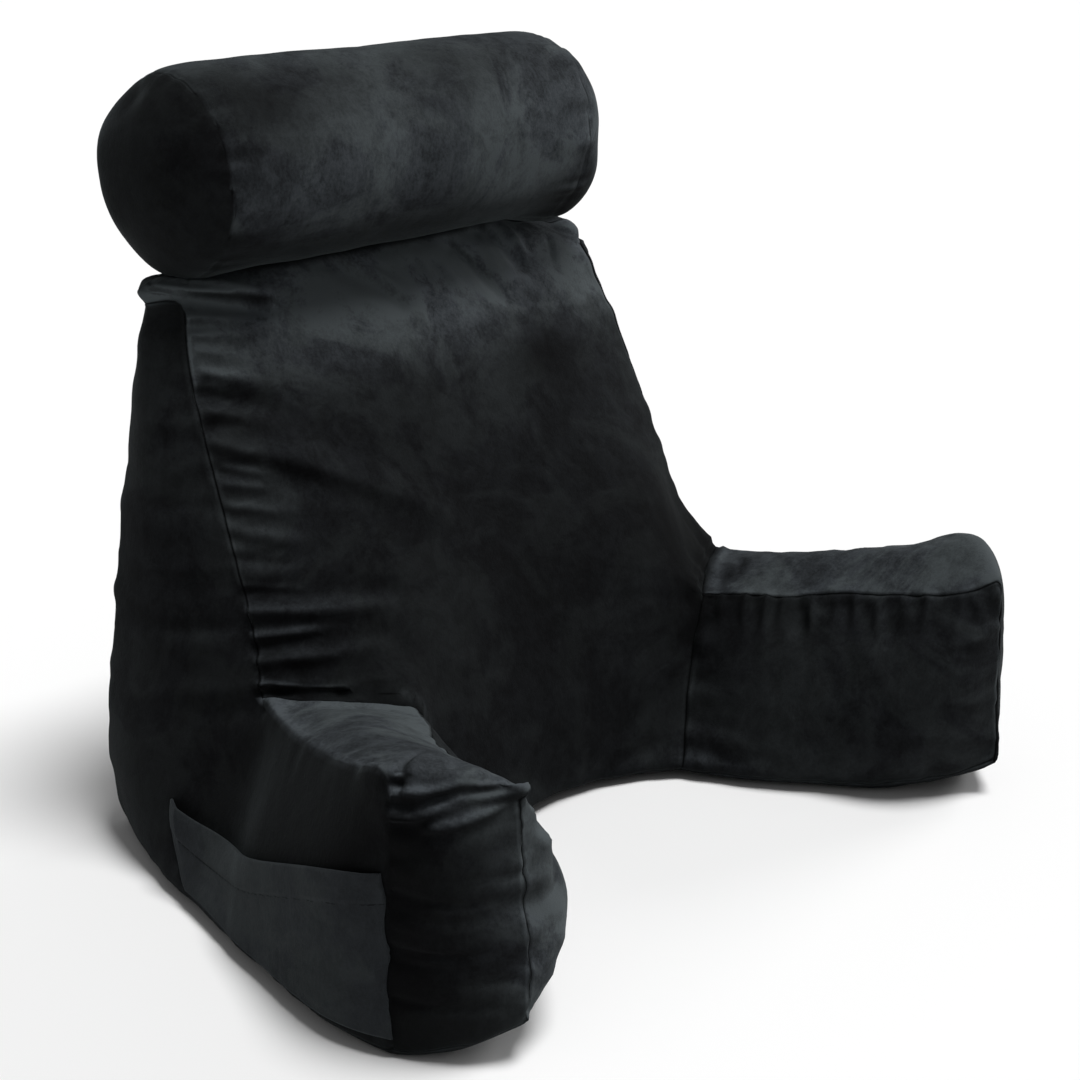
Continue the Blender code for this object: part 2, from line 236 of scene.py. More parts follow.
def grid_mesh(name: str, rows: np.ndarray, closed: bool = False) -> bpy.types.Mesh:
    """Return a mesh of quads over a grid of points.

    Args:
        name: Name of the mesh.
        rows: Points as an array of rows, columns and three coordinates.
        closed: Whether each row runs round and joins its own start.

    Returns:
        The new mesh, smooth shaded.
    """
    count, width = rows.shape[:2]
    index = np.arange(count * width).reshape(count, width)
    right = np.roll(index, -1, axis=1)
    last = width if closed else width - 1
    quads = np.stack([index[:-1, :last], right[:-1, :last], right[1:, :last], index[1:, :last]],
                     axis=-1).reshape(-1, 4)
    mesh = bpy.data.meshes.new(name)
    mesh.from_pydata(rows.reshape(-1, 3).tolist(), [], quads.tolist())
    mesh.shade_smooth()
    return mesh


# ---- cover: the lattice that gives its form ----------------------------------------------------
@dataclass(frozen=True)
class CoverLattice:
    """The cage of the filled back and its arms, one half at +X."""

    columns: int = 5
    depth_cells: int = 2
    arm_column: int = 3
    arm_level: int = 2
    arm_cells: int = 4
    seam_lift: float = 0.009
    front_lean: float = 0.494
    lean_start_y: float = -0.029
    front_dome_power: float = 2.5
    rear_y: float = 0.266
    centre_floor_y: float = 0.002
    arm_top_crown: float = 0.018
    arm_tip_crown: float = 0.016
    arm_inner_crown: float = 0.032
    arm_outer_crown: float = 0.014
    side_crown: float = 0.020
    side_floor_crown: float = 0.008
    rear_crown: float = 0.022
    top_crown: float = 0.022
    corner_pinch: float = 0.012
    tip_lift: float = 0.014
    tip_edge_share: float = 0.3
    belly_depth: float = 0.010
    crease_corner: float = 0.72
    crease_valley: float = 0.85
    crease_floor: float = 0.45
    arm_swell: tuple[float, ...] = (0.0, 0.8, 1.0, 1.0, 0.3)
    # Each level of the back, floor first: height, half width at the front seam, half width at the
    # rear seam, crown of the front panel, how far the arm's root pulls it forward.
    back_rows: tuple[Row, ...] = (
        (0.000, 0.374, 0.317, 0.000, 0.000),
        (0.095, 0.342, 0.328, 0.028, 0.000),
        (0.183, 0.297, 0.317, 0.044, 0.000),
        (0.235, 0.285, 0.309, 0.046, 0.020),
        (0.290, 0.279, 0.299, 0.044, 0.010),
        (0.350, 0.274, 0.287, 0.040, 0.003),
        (0.410, 0.268, 0.276, 0.034, 0.000),
        (0.465, 0.258, 0.263, 0.024, 0.000),
        (0.499, 0.248, 0.2535, 0.011, 0.000),
        (0.512, 0.2445, 0.250, 0.006, 0.000),
    )
    # Each station along the arm, root first: inner floor x, y, z, inner top x, y, z,
    # outer top x, y, z, outer floor x, y.
    arm_rows: tuple[Row, ...] = (
        (0.130, -0.052, 0.009, 0.208, -0.014, 0.172, 0.297, 0.062, 0.183, 0.374, 0.062),
        (0.165, -0.117, 0.009, 0.238, -0.084, 0.178, 0.322, -0.010, 0.184, 0.386, -0.012),
        (0.210, -0.176, 0.009, 0.268, -0.152, 0.189, 0.347, -0.080, 0.197, 0.397, -0.086),
        (0.250, -0.230, 0.013, 0.295, -0.256, 0.208, 0.375, -0.165, 0.221, 0.402, -0.160),
        (0.318, -0.294, 0.036, 0.322, -0.2825, 0.218, 0.390, -0.214, 0.230, 0.389, -0.213),
    )

    @property
    def top_level(self) -> int:
        """Return the number of cells from the floor to the top seams."""
        return len(self.back_rows) - 1

    def arm_node(self, i: int, station: int, k: int) -> Vector:
        """Return a node of the arm: i from inner to outer side, station from root to tip.

        Args:
            i: Node across the arm, from the inner side to the outer side.
            station: Station along the arm, from its root to its tip.
            k: Level above the floor.

        Returns:
            The node's place.
        """
        row = self.arm_rows[station]
        floor_inner, top_inner, top_outer = Vector(row[0:3]), Vector(row[3:6]), Vector(row[6:9])
        floor_outer = Vector((*row[9:11], self.seam_lift))
        rise = k / self.arm_level
        across = (i - self.arm_column) / (self.columns - self.arm_column)
        point = floor_inner.lerp(floor_outer, across).lerp(top_inner.lerp(top_outer, across), rise)
        outwards = floor_outer - floor_inner
        outwards.z = 0.0
        outwards.normalize()
        forwards = Vector((outwards.y, -outwards.x, 0.0))
        swell = self.arm_swell[station]
        at_tip = station == self.arm_cells
        if k == self.arm_level:
            point.z += self.arm_top_crown * hump(across) * swell
        if k == 0:
            lowest = self.tip_lift if at_tip else -self.belly_depth
            point.z += (lowest - point.z) * hump(across)
        if at_tip:
            fullness = hump(across) * max(hump(rise), self.tip_edge_share)
            return point + forwards * self.arm_tip_crown * fullness
        if across == 0.0:
            point -= outwards * self.arm_inner_crown * hump(rise) * swell
        if across == 1.0:
            point += outwards * self.arm_outer_crown * hump(rise) * swell
        return point

    def front_plane_y(self, height: float) -> float:
        """Return the y of the front panel's plane at a height."""
        return self.lean_start_y + self.front_lean * height

    def front_node(self, i: int, k: int) -> Vector:
        """Return a node of the front panel, or of the arm's root below the arm's top.

        Args:
            i: Node from the middle outwards.
            k: Level above the floor.

        Returns:
            The node's place.
        """
        height, seam_x, _, crown, root_pull = self.back_rows[k]
        if k > self.arm_level:
            share = i / self.columns
            swelling = crown * flat_dome(share, self.front_dome_power)
            swelling += root_pull * outer_hump(share)
            return Vector((seam_x * share, self.front_plane_y(height) - swelling, height))
        if i >= self.arm_column:
            return self.arm_node(i, 0, k)
        root = self.arm_node(self.arm_column, 0, k)
        share = i / self.arm_column
        centre_y = self.centre_floor_y if k == 0 else self.front_plane_y(height) - crown
        lift = self.seam_lift if k == 0 else height
        return Vector((root.x * share, centre_y + (root.y - centre_y) * share ** 2, lift))

    def rear_node(self, i: int, k: int) -> Vector:
        """Return a node of the rear panel.

        Args:
            i: Node from the middle outwards.
            k: Level above the floor.

        Returns:
            The node's place.
        """
        height, _, rear_x, _, _ = self.back_rows[k]
        share = i / self.columns
        bulge = self.rear_crown * flat_dome(share) * hump(k / self.top_level)
        point = Vector((rear_x * share, self.rear_y + bulge, height))
        if k == 0:
            point.z = self.seam_lift
        if (i, k) == (self.columns, self.top_level):
            point.z += self.corner_pinch
        return point

    def back_node(self, i: int, j: int, k: int) -> Vector:
        """Return a node of the back: i from the middle outwards, j from front to rear.

        Args:
            i: Node from the middle outwards.
            j: Node from front to rear.
            k: Level above the floor.

        Returns:
            The node's place.
        """
        depth = j / self.depth_cells
        point = self.front_node(i, k).lerp(self.rear_node(i, k), depth)
        inside = flat_dome(i / self.columns) * hump(depth)
        if i == self.columns:
            point.x += (self.side_crown if k > 0 else self.side_floor_crown) * hump(depth)
        if k == self.top_level:
            point.z += self.top_crown * inside
        if k == 0:
            point.z -= (self.seam_lift + self.belly_depth) * inside
        return point

    def node(self, i: int, j: int, k: int) -> Vector:
        """Return a node of the half, arm or back."""
        return self.arm_node(i, -j, k) if j < 0 else self.back_node(i, j, k)

    def cells(self) -> set[Node]:
        """Return the lowest corner of every cell of the half.

        Returns:
            Node numbers i, j and k of each corner.
        """
        back = product(range(self.columns), range(self.depth_cells), range(self.top_level))
        arm = product(range(self.arm_column, self.columns), range(-self.arm_cells, 0),
                      range(self.arm_level))
        return set(back) | set(arm)

    def panel(self, axis: int, sign: int, cell: Node) -> Panel:
        """Return the panel that a cell's outer face belongs to.

        The front panel turns over the top edge, so its top seam lies under the neck roll, and
        both the front panel and the top strip turn down over the top corners.

        Args:
            axis: Axis that the face looks along.
            sign: Side of the cell that the face is on.
            cell: The cell's lowest corner.

        Returns:
            The panel.
        """
        _, j, k = cell
        if axis == 0 and sign > 0 and k == self.top_level - 1:
            return Panel.FRONT if j == 0 else Panel.TOP
        if axis == 1:
            if sign > 0:
                return Panel.REAR
            return Panel.FRONT if j == 0 else Panel.BAND
        if axis == 0:
            return Panel.SIDE if sign > 0 else Panel.INNER
        if sign < 0:
            return Panel.UNDERSIDE
        if j > 0:
            return Panel.TOP
        return Panel.BAND if j < 0 else Panel.FRONT

    def outer_faces(self) -> Iterator[tuple[Panel, list[Node]]]:
        """Yield each outer face of the cells as its panel and four nodes, turned outwards.

        Returns:
            Pairs of a panel and its face's nodes.
        """
        cells = self.cells()
        for cell, axis, sign in product(sorted(cells), range(3), (-1, 1)):
            neighbour = list(cell)
            neighbour[axis] += sign
            on_mirror_plane = axis == 0 and neighbour[0] < 0
            if tuple(neighbour) in cells or on_mirror_plane:
                continue
            first, second = (axis + 1) % 3, (axis + 2) % 3
            corners = []
            for u, v in ((0, 0), (1, 0), (1, 1), (0, 1)):
                node = list(cell)
                node[axis] += (sign + 1) // 2
                node[first] += u
                node[second] += v
                corners.append(tuple(node))
            yield self.panel(axis, sign, cell), corners if sign > 0 else corners[::-1]

    def crease(self, panels: set[int]) -> float:
        """Return the crease weight of an edge from the panels on its two sides.

        Args:
            panels: Panels that meet at the edge.

        Returns:
            The weight, 0 within a panel.
        """
        if len(panels) < 2:
            return 0.0
        if Panel.UNDERSIDE in panels:
            return self.crease_floor
        if Panel.FRONT in panels and panels & {Panel.BAND, Panel.INNER}:
            return self.crease_valley
        return self.crease_corner

    def cage(self) -> tuple[bpy.types.Object, np.ndarray]:
        """Return the half cage as an object, and each vertex's target place.

        Returns:
            The object, and the places that the smoothed cage has to pass through.
        """
        cage = bmesh.new()
        crease = cage.edges.layers.float.new("crease_edge")
        panel_layer = cage.faces.layers.int.new("panel")
        nodes = {}
        for panel, corners in self.outer_faces():
            for node in corners:
                if node not in nodes:
                    nodes[node] = cage.verts.new(self.node(*node))
            face = cage.faces.new([nodes[node] for node in corners])
            face.smooth = True
            face[panel_layer] = int(panel)
        for edge in cage.edges:
            edge[crease] = self.crease({face[panel_layer] for face in edge.link_faces})
        mesh = bpy.data.meshes.new("cover_cage")
        cage.to_mesh(mesh)
        cage.free()
        return new_object("cover_cage", mesh), mesh_points(mesh)


# ---- lie of the pile, with painted light and shade ---------------------------------------------
class Measure(Enum):
    """What a lie of the pile and its painted light and shade ease with."""

    HEIGHT = "height"
    SLOPE = "slope"


@dataclass(frozen=True)
class PileAndLightFade:
    """A lie of the pile with painted light and shade, eased from one value to another by height or
    slope.
    """

    below: float
    above: float
    low: float = 0.0
    high: float = 1.0
    measure: Measure = Measure.HEIGHT

    def at(self, points: np.ndarray, normals: np.ndarray) -> np.ndarray:
        """Return the pile's lie with painted light and shade at each point: 0 looks darkest, 1
        lightest.

        Args:
            points: Places on the cover or roll.
            normals: Normals at the places.

        Returns:
            The lie at each point.
        """
        level = (points if self.measure is Measure.HEIGHT else normals)[:, 2]
        share = np.clip((level - self.low) / (self.high - self.low), 0.0, 1.0)
        return self.below + (self.above - self.below) * share ** 2 * (3.0 - 2.0 * share)


def pile_and_light_patches(points: np.ndarray, patches: Sequence[Sequence[float]]) -> np.ndarray:
    """Return how patches change the pile's lie: pile laid another way, and painted light and shade.

    Args:
        points: Places, one row each.
        patches: A row for each patch: place x, y, z, radius, change.

    Returns:
        One change for each point.
    """
    total = np.zeros(len(points))
    for x, y, z, radius, change in patches:
        gap = np.linalg.norm(points - np.array((x, y, z)), axis=1)
        total += change * np.exp(-(gap / radius) ** 2)
    return total


def painted_fold_light(normals: np.ndarray, soft: np.ndarray, gain: float) -> np.ndarray:
    """Return painted light and shade on the folds, lighter where a fold faces the lights, as a
    factor.
    """
    return np.exp(gain * (normals - soft) @ np.array(LIT_WAY))


def nudged(points: np.ndarray, pushes: Sequence[Sequence[float]]) -> np.ndarray:
    """Return points moved by soft local pushes.

    Args:
        points: Places, one row each.
        pushes: A row for each push: place x, y, z, radius, move x, y, z.

    Returns:
        The moved points.
    """
    moved = points.copy()
    for push in pushes:
        gap = np.linalg.norm(points - np.array(push[:3]), axis=1)
        moved += np.exp(-(gap / push[3]) ** 2)[:, None] * np.array(push[4:])
    return moved


# ---- cover: folds and seams --------------------------------------------------------------------
@dataclass(frozen=True)
class Fold:
    """A soft trough (positive depth) or ridge (negative depth) along a straight line."""

    start: tuple[float, float, float]
    end: tuple[float, float, float]
    depth: float
    half_width: float

    def press(self, points: np.ndarray) -> np.ndarray:
        """Return how deep the fold presses each point.

        Args:
            points: Places on the cover.

        Returns:
            The depth at each point.
        """
        start, line = np.array(self.start), np.array(self.end) - np.array(self.start)
        share = np.clip((points - start) @ line / (line @ line), 0.0, 1.0)
        gap = np.linalg.norm(points - start - share[:, None] * line, axis=1)
        return self.depth * np.exp(-(gap / self.half_width) ** 2)


@dataclass(frozen=True)
class Creases:
    """Fine ridges that run out of a panel's seams, drawn flat in mm as seen from one side.

    Each row holds the start and the end in the drawing, the lift and the half width. A ridge has
    a shallow trough under it, and a negative lift turns the two round.
    """

    panel: Panel
    seen: Seen
    rows: tuple[Row, ...]
    crest_share: float = 0.75
    trough_place: float = 1.9
    trough_share: float = 1.5
    trough_depth: float = 0.40
    facing_gain: float = 2.5

    def profile(self, down: np.ndarray, half_width: float) -> np.ndarray:
        """Return the height across a ridge.

        Args:
            down: Distance down from the crest, in mm.
            half_width: Half width of the row, in mm.

        Returns:
            1 at the crest, and less than 0 in the trough under it.
        """
        from_trough = down - self.trough_place * half_width
        trough = np.exp(-(from_trough / (self.trough_share * half_width)) ** 2)
        return np.exp(-(down / (self.crest_share * half_width)) ** 2) - self.trough_depth * trough

    def lift(self, points: np.ndarray, normals: np.ndarray) -> np.ndarray:
        """Return how far each point of the panel is lifted.

        Args:
            points: Places on the cover.
            normals: Normals at the places.

        Returns:
            The height at each point.
        """
        axes, way = self.seen.value
        flat = points[:, axes] / MM
        total = np.zeros(len(points))
        for x, y, end_x, end_y, height, half_width in self.rows:
            line = np.array((end_x - x, end_y - y))
            length = np.linalg.norm(line)
            line = line / length
            from_start = flat - np.array((x, y))
            along = from_start @ line
            square = np.array((line[1], -line[0])) * (-1.0 if line[0] < 0.0 else 1.0)
            beyond = np.maximum(np.maximum(-along, along - length), 0.0)
            fade = 1.0 - np.clip(along / length, 0.0, 1.0) ** 2
            fade *= np.exp(-(beyond / half_width) ** 2)
            total += height * fade * self.profile(from_start @ square, half_width)
        facing = np.clip(self.facing_gain * (normals @ np.array(way)), 0.0, 1.0)
        return total * facing * MM


@dataclass(frozen=True)
class Gathers:
    """Uneven small puckers along a seam: the panel that puckers and the one that it meets."""

    panel: Panel
    neighbour: Panel
    height: float
    spacing: float
    reach: float
    right_share: float = 1.0
    wave_gain: float = 1.7
    roundness: float = 0.8
    reach_wander: float = 0.9
    least_reach: float = 2.0 * MM
    wave_seed: float = 3.0
    reach_seed: float = 9.0

    def lift(self, seam: np.ndarray, gap: np.ndarray) -> np.ndarray:
        """Return how far points are lifted, from their nearest seam point and gap to it.

        Args:
            seam: Each point's nearest seam point.
            gap: Distance to it.

        Returns:
            The height at each point.
        """
        spacing = self.spacing * MM
        waves = self.wave_gain * soft_noise(seam, spacing, self.wave_seed + self.panel)
        wander = self.reach_wander * soft_noise(seam, 0.6 * spacing, self.reach_seed)
        reach = self.reach * MM * (1.0 + wander)
        near = np.exp(-(gap / np.maximum(reach, self.least_reach)) ** 2)
        height = self.height * MM * np.where(seam[:, 0] > 0.0, self.right_share, 1.0)
        return height * np.sign(waves) * np.abs(waves) ** self.roundness * near


@dataclass(frozen=True)
class Welt:
    """A soft raised lip that follows a seam: the panel that carries it and the one beyond."""

    panel: Panel
    neighbour: Panel
    height: float
    offset: float
    half_width: float
    wander: float = 0.5
    wander_size: float = 45.0 * MM
    seed: float = 6.0

    def lift(self, seam: np.ndarray, gap: np.ndarray) -> np.ndarray:
        """Return how far points are lifted, from their nearest seam point and gap to it.

        Args:
            seam: Each point's nearest seam point.
            gap: Distance to it.

        Returns:
            The height at each point.
        """
        uneven = 1.0 + self.wander * soft_noise(seam, self.wander_size, self.seed)
        across = (gap / MM - self.offset * uneven) / self.half_width
        return self.height * MM * uneven * np.exp(-across ** 2)


class SeamMap:
    """Finds the seams of a cover's mesh and how far its vertices lie from them."""

    PARTS = 4

    def __init__(self, mesh: bpy.types.Mesh) -> None:
        """Read the panels and edges of a mesh.

        Args:
            mesh: Cover whose faces carry their panel.
        """
        self.points = mesh_points(mesh)
        face_count, loop_count = len(mesh.polygons), len(mesh.loops)
        self.face_panel = np.empty(face_count, np.int32)
        mesh.attributes["panel"].data.foreach_get("value", self.face_panel)
        totals = np.empty(face_count, np.int32)
        mesh.polygons.foreach_get("loop_total", totals)
        loop_edge = np.empty(loop_count, np.int32)
        mesh.loops.foreach_get("edge_index", loop_edge)
        loop_vert = np.empty(loop_count, np.int32)
        mesh.loops.foreach_get("vertex_index", loop_vert)
        ends = np.empty(len(mesh.edges) * 2, np.int32)
        mesh.edges.foreach_get("vertices", ends)
        loop_panel = np.repeat(self.face_panel, totals)
        low = np.full(len(mesh.edges), len(Panel))
        high = np.full(len(mesh.edges), -1)
        np.minimum.at(low, loop_edge, loop_panel)
        np.maximum.at(high, loop_edge, loop_panel)
        self.edge_ends = ends.reshape(-1, 2)
        self.seam_edges = np.flatnonzero(low != high)
        self.pairs = {int(edge): (int(low[edge]), int(high[edge])) for edge in self.seam_edges}
        self.in_panel = np.zeros((len(Panel), len(self.points)), bool)
        self.in_panel[loop_panel, loop_vert] = True

    def seam_points(self, first: Panel, second: Panel) -> np.ndarray:
        """Return points every quarter edge along the seams between two panels.

        Args:
            first: One panel.
            second: The other panel.

        Returns:
            The points, one row each.
        """
        wanted = (min(first, second), max(first, second))
        edges = [edge for edge, pair in self.pairs.items() if pair == wanted]
        starts = self.points[self.edge_ends[edges, 0]]
        stops = self.points[self.edge_ends[edges, 1]]
        shares = np.linspace(0.0, 1.0, self.PARTS + 1)[:, None, None]
        return (starts + (stops - starts) * shares).reshape(-1, 3)

    @staticmethod
    def nearest(points: np.ndarray, seam: np.ndarray) -> tuple[np.ndarray, np.ndarray]:
        """Return each point's nearest seam point and its distance.

        Args:
            points: Places to look from.
            seam: Points along the seams.

        Returns:
            The nearest seam points, and the distances.
        """
        tree = KDTree(len(seam))
        for index, place in enumerate(seam):
            tree.insert(place, index)
        tree.balance()
        found = [tree.find(point) for point in points]
        return seam[[item[1] for item in found]], np.array([item[2] for item in found])


@dataclass(frozen=True)
class Settling:
    """Blender's cloth simulation of a filled cover: the seams draw in and the panels buckle."""

    pressure: float = 3.0
    slack: float = 0.012
    seam_draw: float = 0.06
    stretch_stiffness: float = 40.0
    shear_stiffness: float = 8.0
    bending_stiffness: float = 2.0
    hold: float = 0.20
    frames: int = 10
    quality: int = 4
    ripple_rounds: int = 2
    spread_rounds: int = 160
    swelling_kept: float = 0.1
    cap: float = 7.0 * MM

    def settle(self, mesh: bpy.types.Mesh, seam: np.ndarray, held: np.ndarray) -> np.ndarray:
        """Return how far the simulated cloth moves each vertex.

        Args:
            mesh: Closed mesh of the filled cover.
            seam: Indices of the vertices on the seams, which draw in.
            held: Indices of the vertices that something presses on, which stay.

        Returns:
            One move for each vertex, without the slow swelling and capped.
        """
        before = mesh_points(mesh)
        item = new_object("settling", mesh)
        item.vertex_groups.new(name="seams").add(seam.tolist(), 1.0, "REPLACE")
        holding = item.vertex_groups.new(name="holding")
        holding.add(list(range(len(before))), self.hold, "REPLACE")
        holding.add(held.tolist(), 1.0, "REPLACE")
        modifier = item.modifiers.new("cloth", "CLOTH")
        cloth = modifier.settings
        cloth.quality = self.quality
        cloth.tension_stiffness = self.stretch_stiffness
        cloth.compression_stiffness = self.stretch_stiffness
        cloth.shear_stiffness = self.shear_stiffness
        cloth.bending_stiffness = self.bending_stiffness
        cloth.use_pressure = True
        cloth.uniform_pressure_force = self.pressure
        cloth.vertex_group_mass = "holding"
        cloth.vertex_group_shrink = "seams"
        cloth.shrink_min = -self.slack
        cloth.shrink_max = self.seam_draw
        cloth.effector_weights.gravity = 0.0
        modifier.collision_settings.use_collision = False
        for frame in range(1, self.frames + 1):
            bpy.context.scene.frame_set(frame)
        settled = applied_mesh(item)
        move = mesh_points(settled) - before
        item.modifiers.remove(modifier)
        bpy.context.scene.frame_set(1)
        bpy.data.objects.remove(item, do_unlink=True)
        bpy.data.meshes.remove(settled)
        move = blurred(mesh, move, self.ripple_rounds)
        move -= (1.0 - self.swelling_kept) * blurred(mesh, move, self.spread_rounds)
        size = np.linalg.norm(move, axis=1, keepdims=True)
        return move * self.cap * np.tanh(size / self.cap) / np.maximum(size, LEAST_LENGTH)


@dataclass(frozen=True)
class PillowCover:
    """The filled back with its arms, sewn from seven kinds of panel."""

    QUIET: ClassVar[tuple[Panel, Panel]] = (Panel.BAND, Panel.SIDE)

    lattice: CoverLattice
    roll: "NeckRoll"
    fit_rounds: int = 6
    fit_levels: int = 2
    fine_levels: int = 4
    merge_gap: float = 0.1 * MM
    fine_front_x: float = -0.235
    fine_band_y: float = -0.12
    fine_bottom: float = 0.15
    groove_width: float = 1.0 * MM
    groove_depth: float = 1.4 * MM
    # Painted highlight: a lighter line beside each seam, stronger at the left arm's root.
    highlight_offset: float = 2.6 * MM
    highlight_spread: float = 0.5
    highlight_gain: float = 0.70
    root_highlight_gain: float = 3.0
    root_highlight_reach: float = 20.0 * MM
    # Painted shade where the cover meets the roll.
    crevice: float = 5.0 * MM
    crevice_shade: float = 0.9
    root_bottom: float = 0.125
    root_line: float = 11.0 * MM
    # Painted shade along the right arm's root seam.
    slash: float = 7.0 * MM
    slash_shade: float = 0.95
    lightest_lay: float = 1.3
    settling: Settling = Settling()
    floor_contact: float = 3.0 * MM
    roll_contact: float = 7.0 * MM
    # How much of the simulated move each panel takes, in the panels' own order.
    settling_shares: tuple[float, ...] = (0.35, 0.4, 0.8, 0.10, 0.8, 0.5, 0.3)
    # The main folds of the solid: start x, y, z, end x, y, z, depth, half width.
    main_folds: tuple[Row, ...] = (
        (-0.253, 0.236, 0.513, -0.168, 0.209, 0.498, -0.007, 0.010),
        (-0.238, 0.218, 0.502, -0.183, 0.204, 0.489, 0.006, 0.011),
        (-0.255, 0.178, 0.423, -0.209, 0.161, 0.414, 0.004, 0.012),
        (-0.253, 0.154, 0.380, -0.195, 0.128, 0.365, -0.005, 0.014),
        (-0.195, 0.128, 0.365, -0.077, 0.074, 0.300, -0.004, 0.018),
        (-0.278, 0.098, 0.261, -0.163, 0.046, 0.252, 0.005, 0.014),
        (-0.284, 0.079, 0.223, -0.179, 0.022, 0.219, 0.005, 0.014),
        (-0.079, 0.221, 0.515, -0.024, 0.186, 0.476, 0.005, 0.013),
        (0.076, 0.216, 0.509, 0.106, 0.183, 0.469, 0.005, 0.013),
        (0.125, 0.227, 0.522, 0.153, 0.202, 0.490, 0.005, 0.013),
        (-0.386, -0.221, 0.229, -0.345, -0.236, 0.237, 0.007, 0.012),
        (-0.368, -0.249, 0.220, -0.330, -0.270, 0.228, 0.006, 0.012),
        (-0.388, -0.219, 0.133, -0.323, -0.282, 0.132, 0.004, 0.014),
        (-0.388, -0.216, 0.086, -0.324, -0.283, 0.085, 0.004, 0.014),
        (0.194, -0.016, 0.166, 0.237, -0.007, 0.180, 0.006, 0.012),
        (-0.272, -0.262, 0.170, -0.272, -0.258, 0.060, 0.009, 0.050),
        (0.229, -0.117, 0.157, 0.236, -0.102, 0.120, 0.004, 0.013),
        (0.258, -0.203, 0.167, 0.262, -0.195, 0.125, 0.004, 0.013),
    )
    # Local pushes on the floor frame: place x, y, z, radius, move x, y, z.
    nudges: tuple[Row, ...] = (
        (-0.254, 0.240, 0.524, 0.024, -0.002, 0.002, -0.007),
        (0.240, 0.210, 0.522, 0.024, 0.000, 0.000, -0.008),
        (0.258, 0.205, 0.494, 0.034, 0.007, -0.005, 0.000),
        (0.262, 0.160, 0.425, 0.050, 0.003, -0.002, 0.000),
        (-0.317, -0.313, 0.040, 0.080, -0.0066, 0.0066, 0.000),
        (0.190, -0.038, 0.110, 0.090, -0.0052, 0.0052, 0.000),
        (0.241, -0.115, 0.175, 0.030, 0.000, 0.000, -0.004),
        (-0.204, -0.036, 0.168, 0.036, 0.009, -0.009, 0.001),
        (-0.222, -0.078, 0.172, 0.036, 0.008, -0.008, 0.000),
        (0.299, 0.043, 0.186, 0.036, 0.007, -0.008, -0.002),
        (0.276, 0.056, 0.240, 0.040, -0.006, 0.005, 0.000),
        (-0.287, -0.298, 0.168, 0.034, 0.006, -0.005, 0.000),
        (-0.284, -0.290, 0.085, 0.042, 0.011, -0.011, 0.000),
        (-0.292, -0.300, 0.050, 0.030, 0.005, -0.005, -0.004),
    )
    welts: tuple[Welt, ...] = (
        Welt(Panel.FRONT, Panel.BAND, 2.6, 11.0, 2.6),
        Welt(Panel.BAND, Panel.FRONT, 3.0, 8.0, 4.0),
        Welt(Panel.SIDE, Panel.FRONT, 1.0, 3.0, 2.0),
    )
    # Puckers along the seams: panel, panel that it meets, height, spacing and reach in mm.
    gathers: tuple[Gathers, ...] = (
        Gathers(Panel.FRONT, Panel.SIDE, 2.0, 17.0, 38.0, 0.4),
        Gathers(Panel.FRONT, Panel.TOP, 2.4, 24.0, 38.0),
        Gathers(Panel.FRONT, Panel.BAND, 1.6, 18.0, 26.0),
        Gathers(Panel.FRONT, Panel.INNER, 0.8, 22.0, 20.0),
        Gathers(Panel.INNER, Panel.BAND, 1.8, 13.0, 24.0),
        Gathers(Panel.INNER, Panel.FRONT, 0.8, 20.0, 20.0),
        Gathers(Panel.BAND, Panel.INNER, 1.0, 14.0, 13.0),
        Gathers(Panel.BAND, Panel.SIDE, 1.3, 18.0, 20.0),
        Gathers(Panel.SIDE, Panel.BAND, 0.8, 20.0, 22.0),
        Gathers(Panel.SIDE, Panel.FRONT, 1.0, 20.0, 40.0),
        Gathers(Panel.SIDE, Panel.REAR, 1.2, 22.0, 34.0),
        Gathers(Panel.REAR, Panel.SIDE, 1.4, 22.0, 36.0),
        Gathers(Panel.REAR, Panel.TOP, 1.6, 24.0, 36.0),
        Gathers(Panel.TOP, Panel.REAR, 1.0, 22.0, 20.0),
        Gathers(Panel.TOP, Panel.FRONT, 1.0, 22.0, 20.0),
        Gathers(Panel.FRONT, Panel.UNDERSIDE, 1.4, 24.0, 26.0),
        Gathers(Panel.INNER, Panel.UNDERSIDE, 1.4, 22.0, 24.0),
        Gathers(Panel.SIDE, Panel.UNDERSIDE, 1.2, 24.0, 26.0),
        Gathers(Panel.REAR, Panel.UNDERSIDE, 1.4, 26.0, 30.0),
        Gathers(Panel.BAND, Panel.UNDERSIDE, 1.2, 20.0, 18.0),
    )
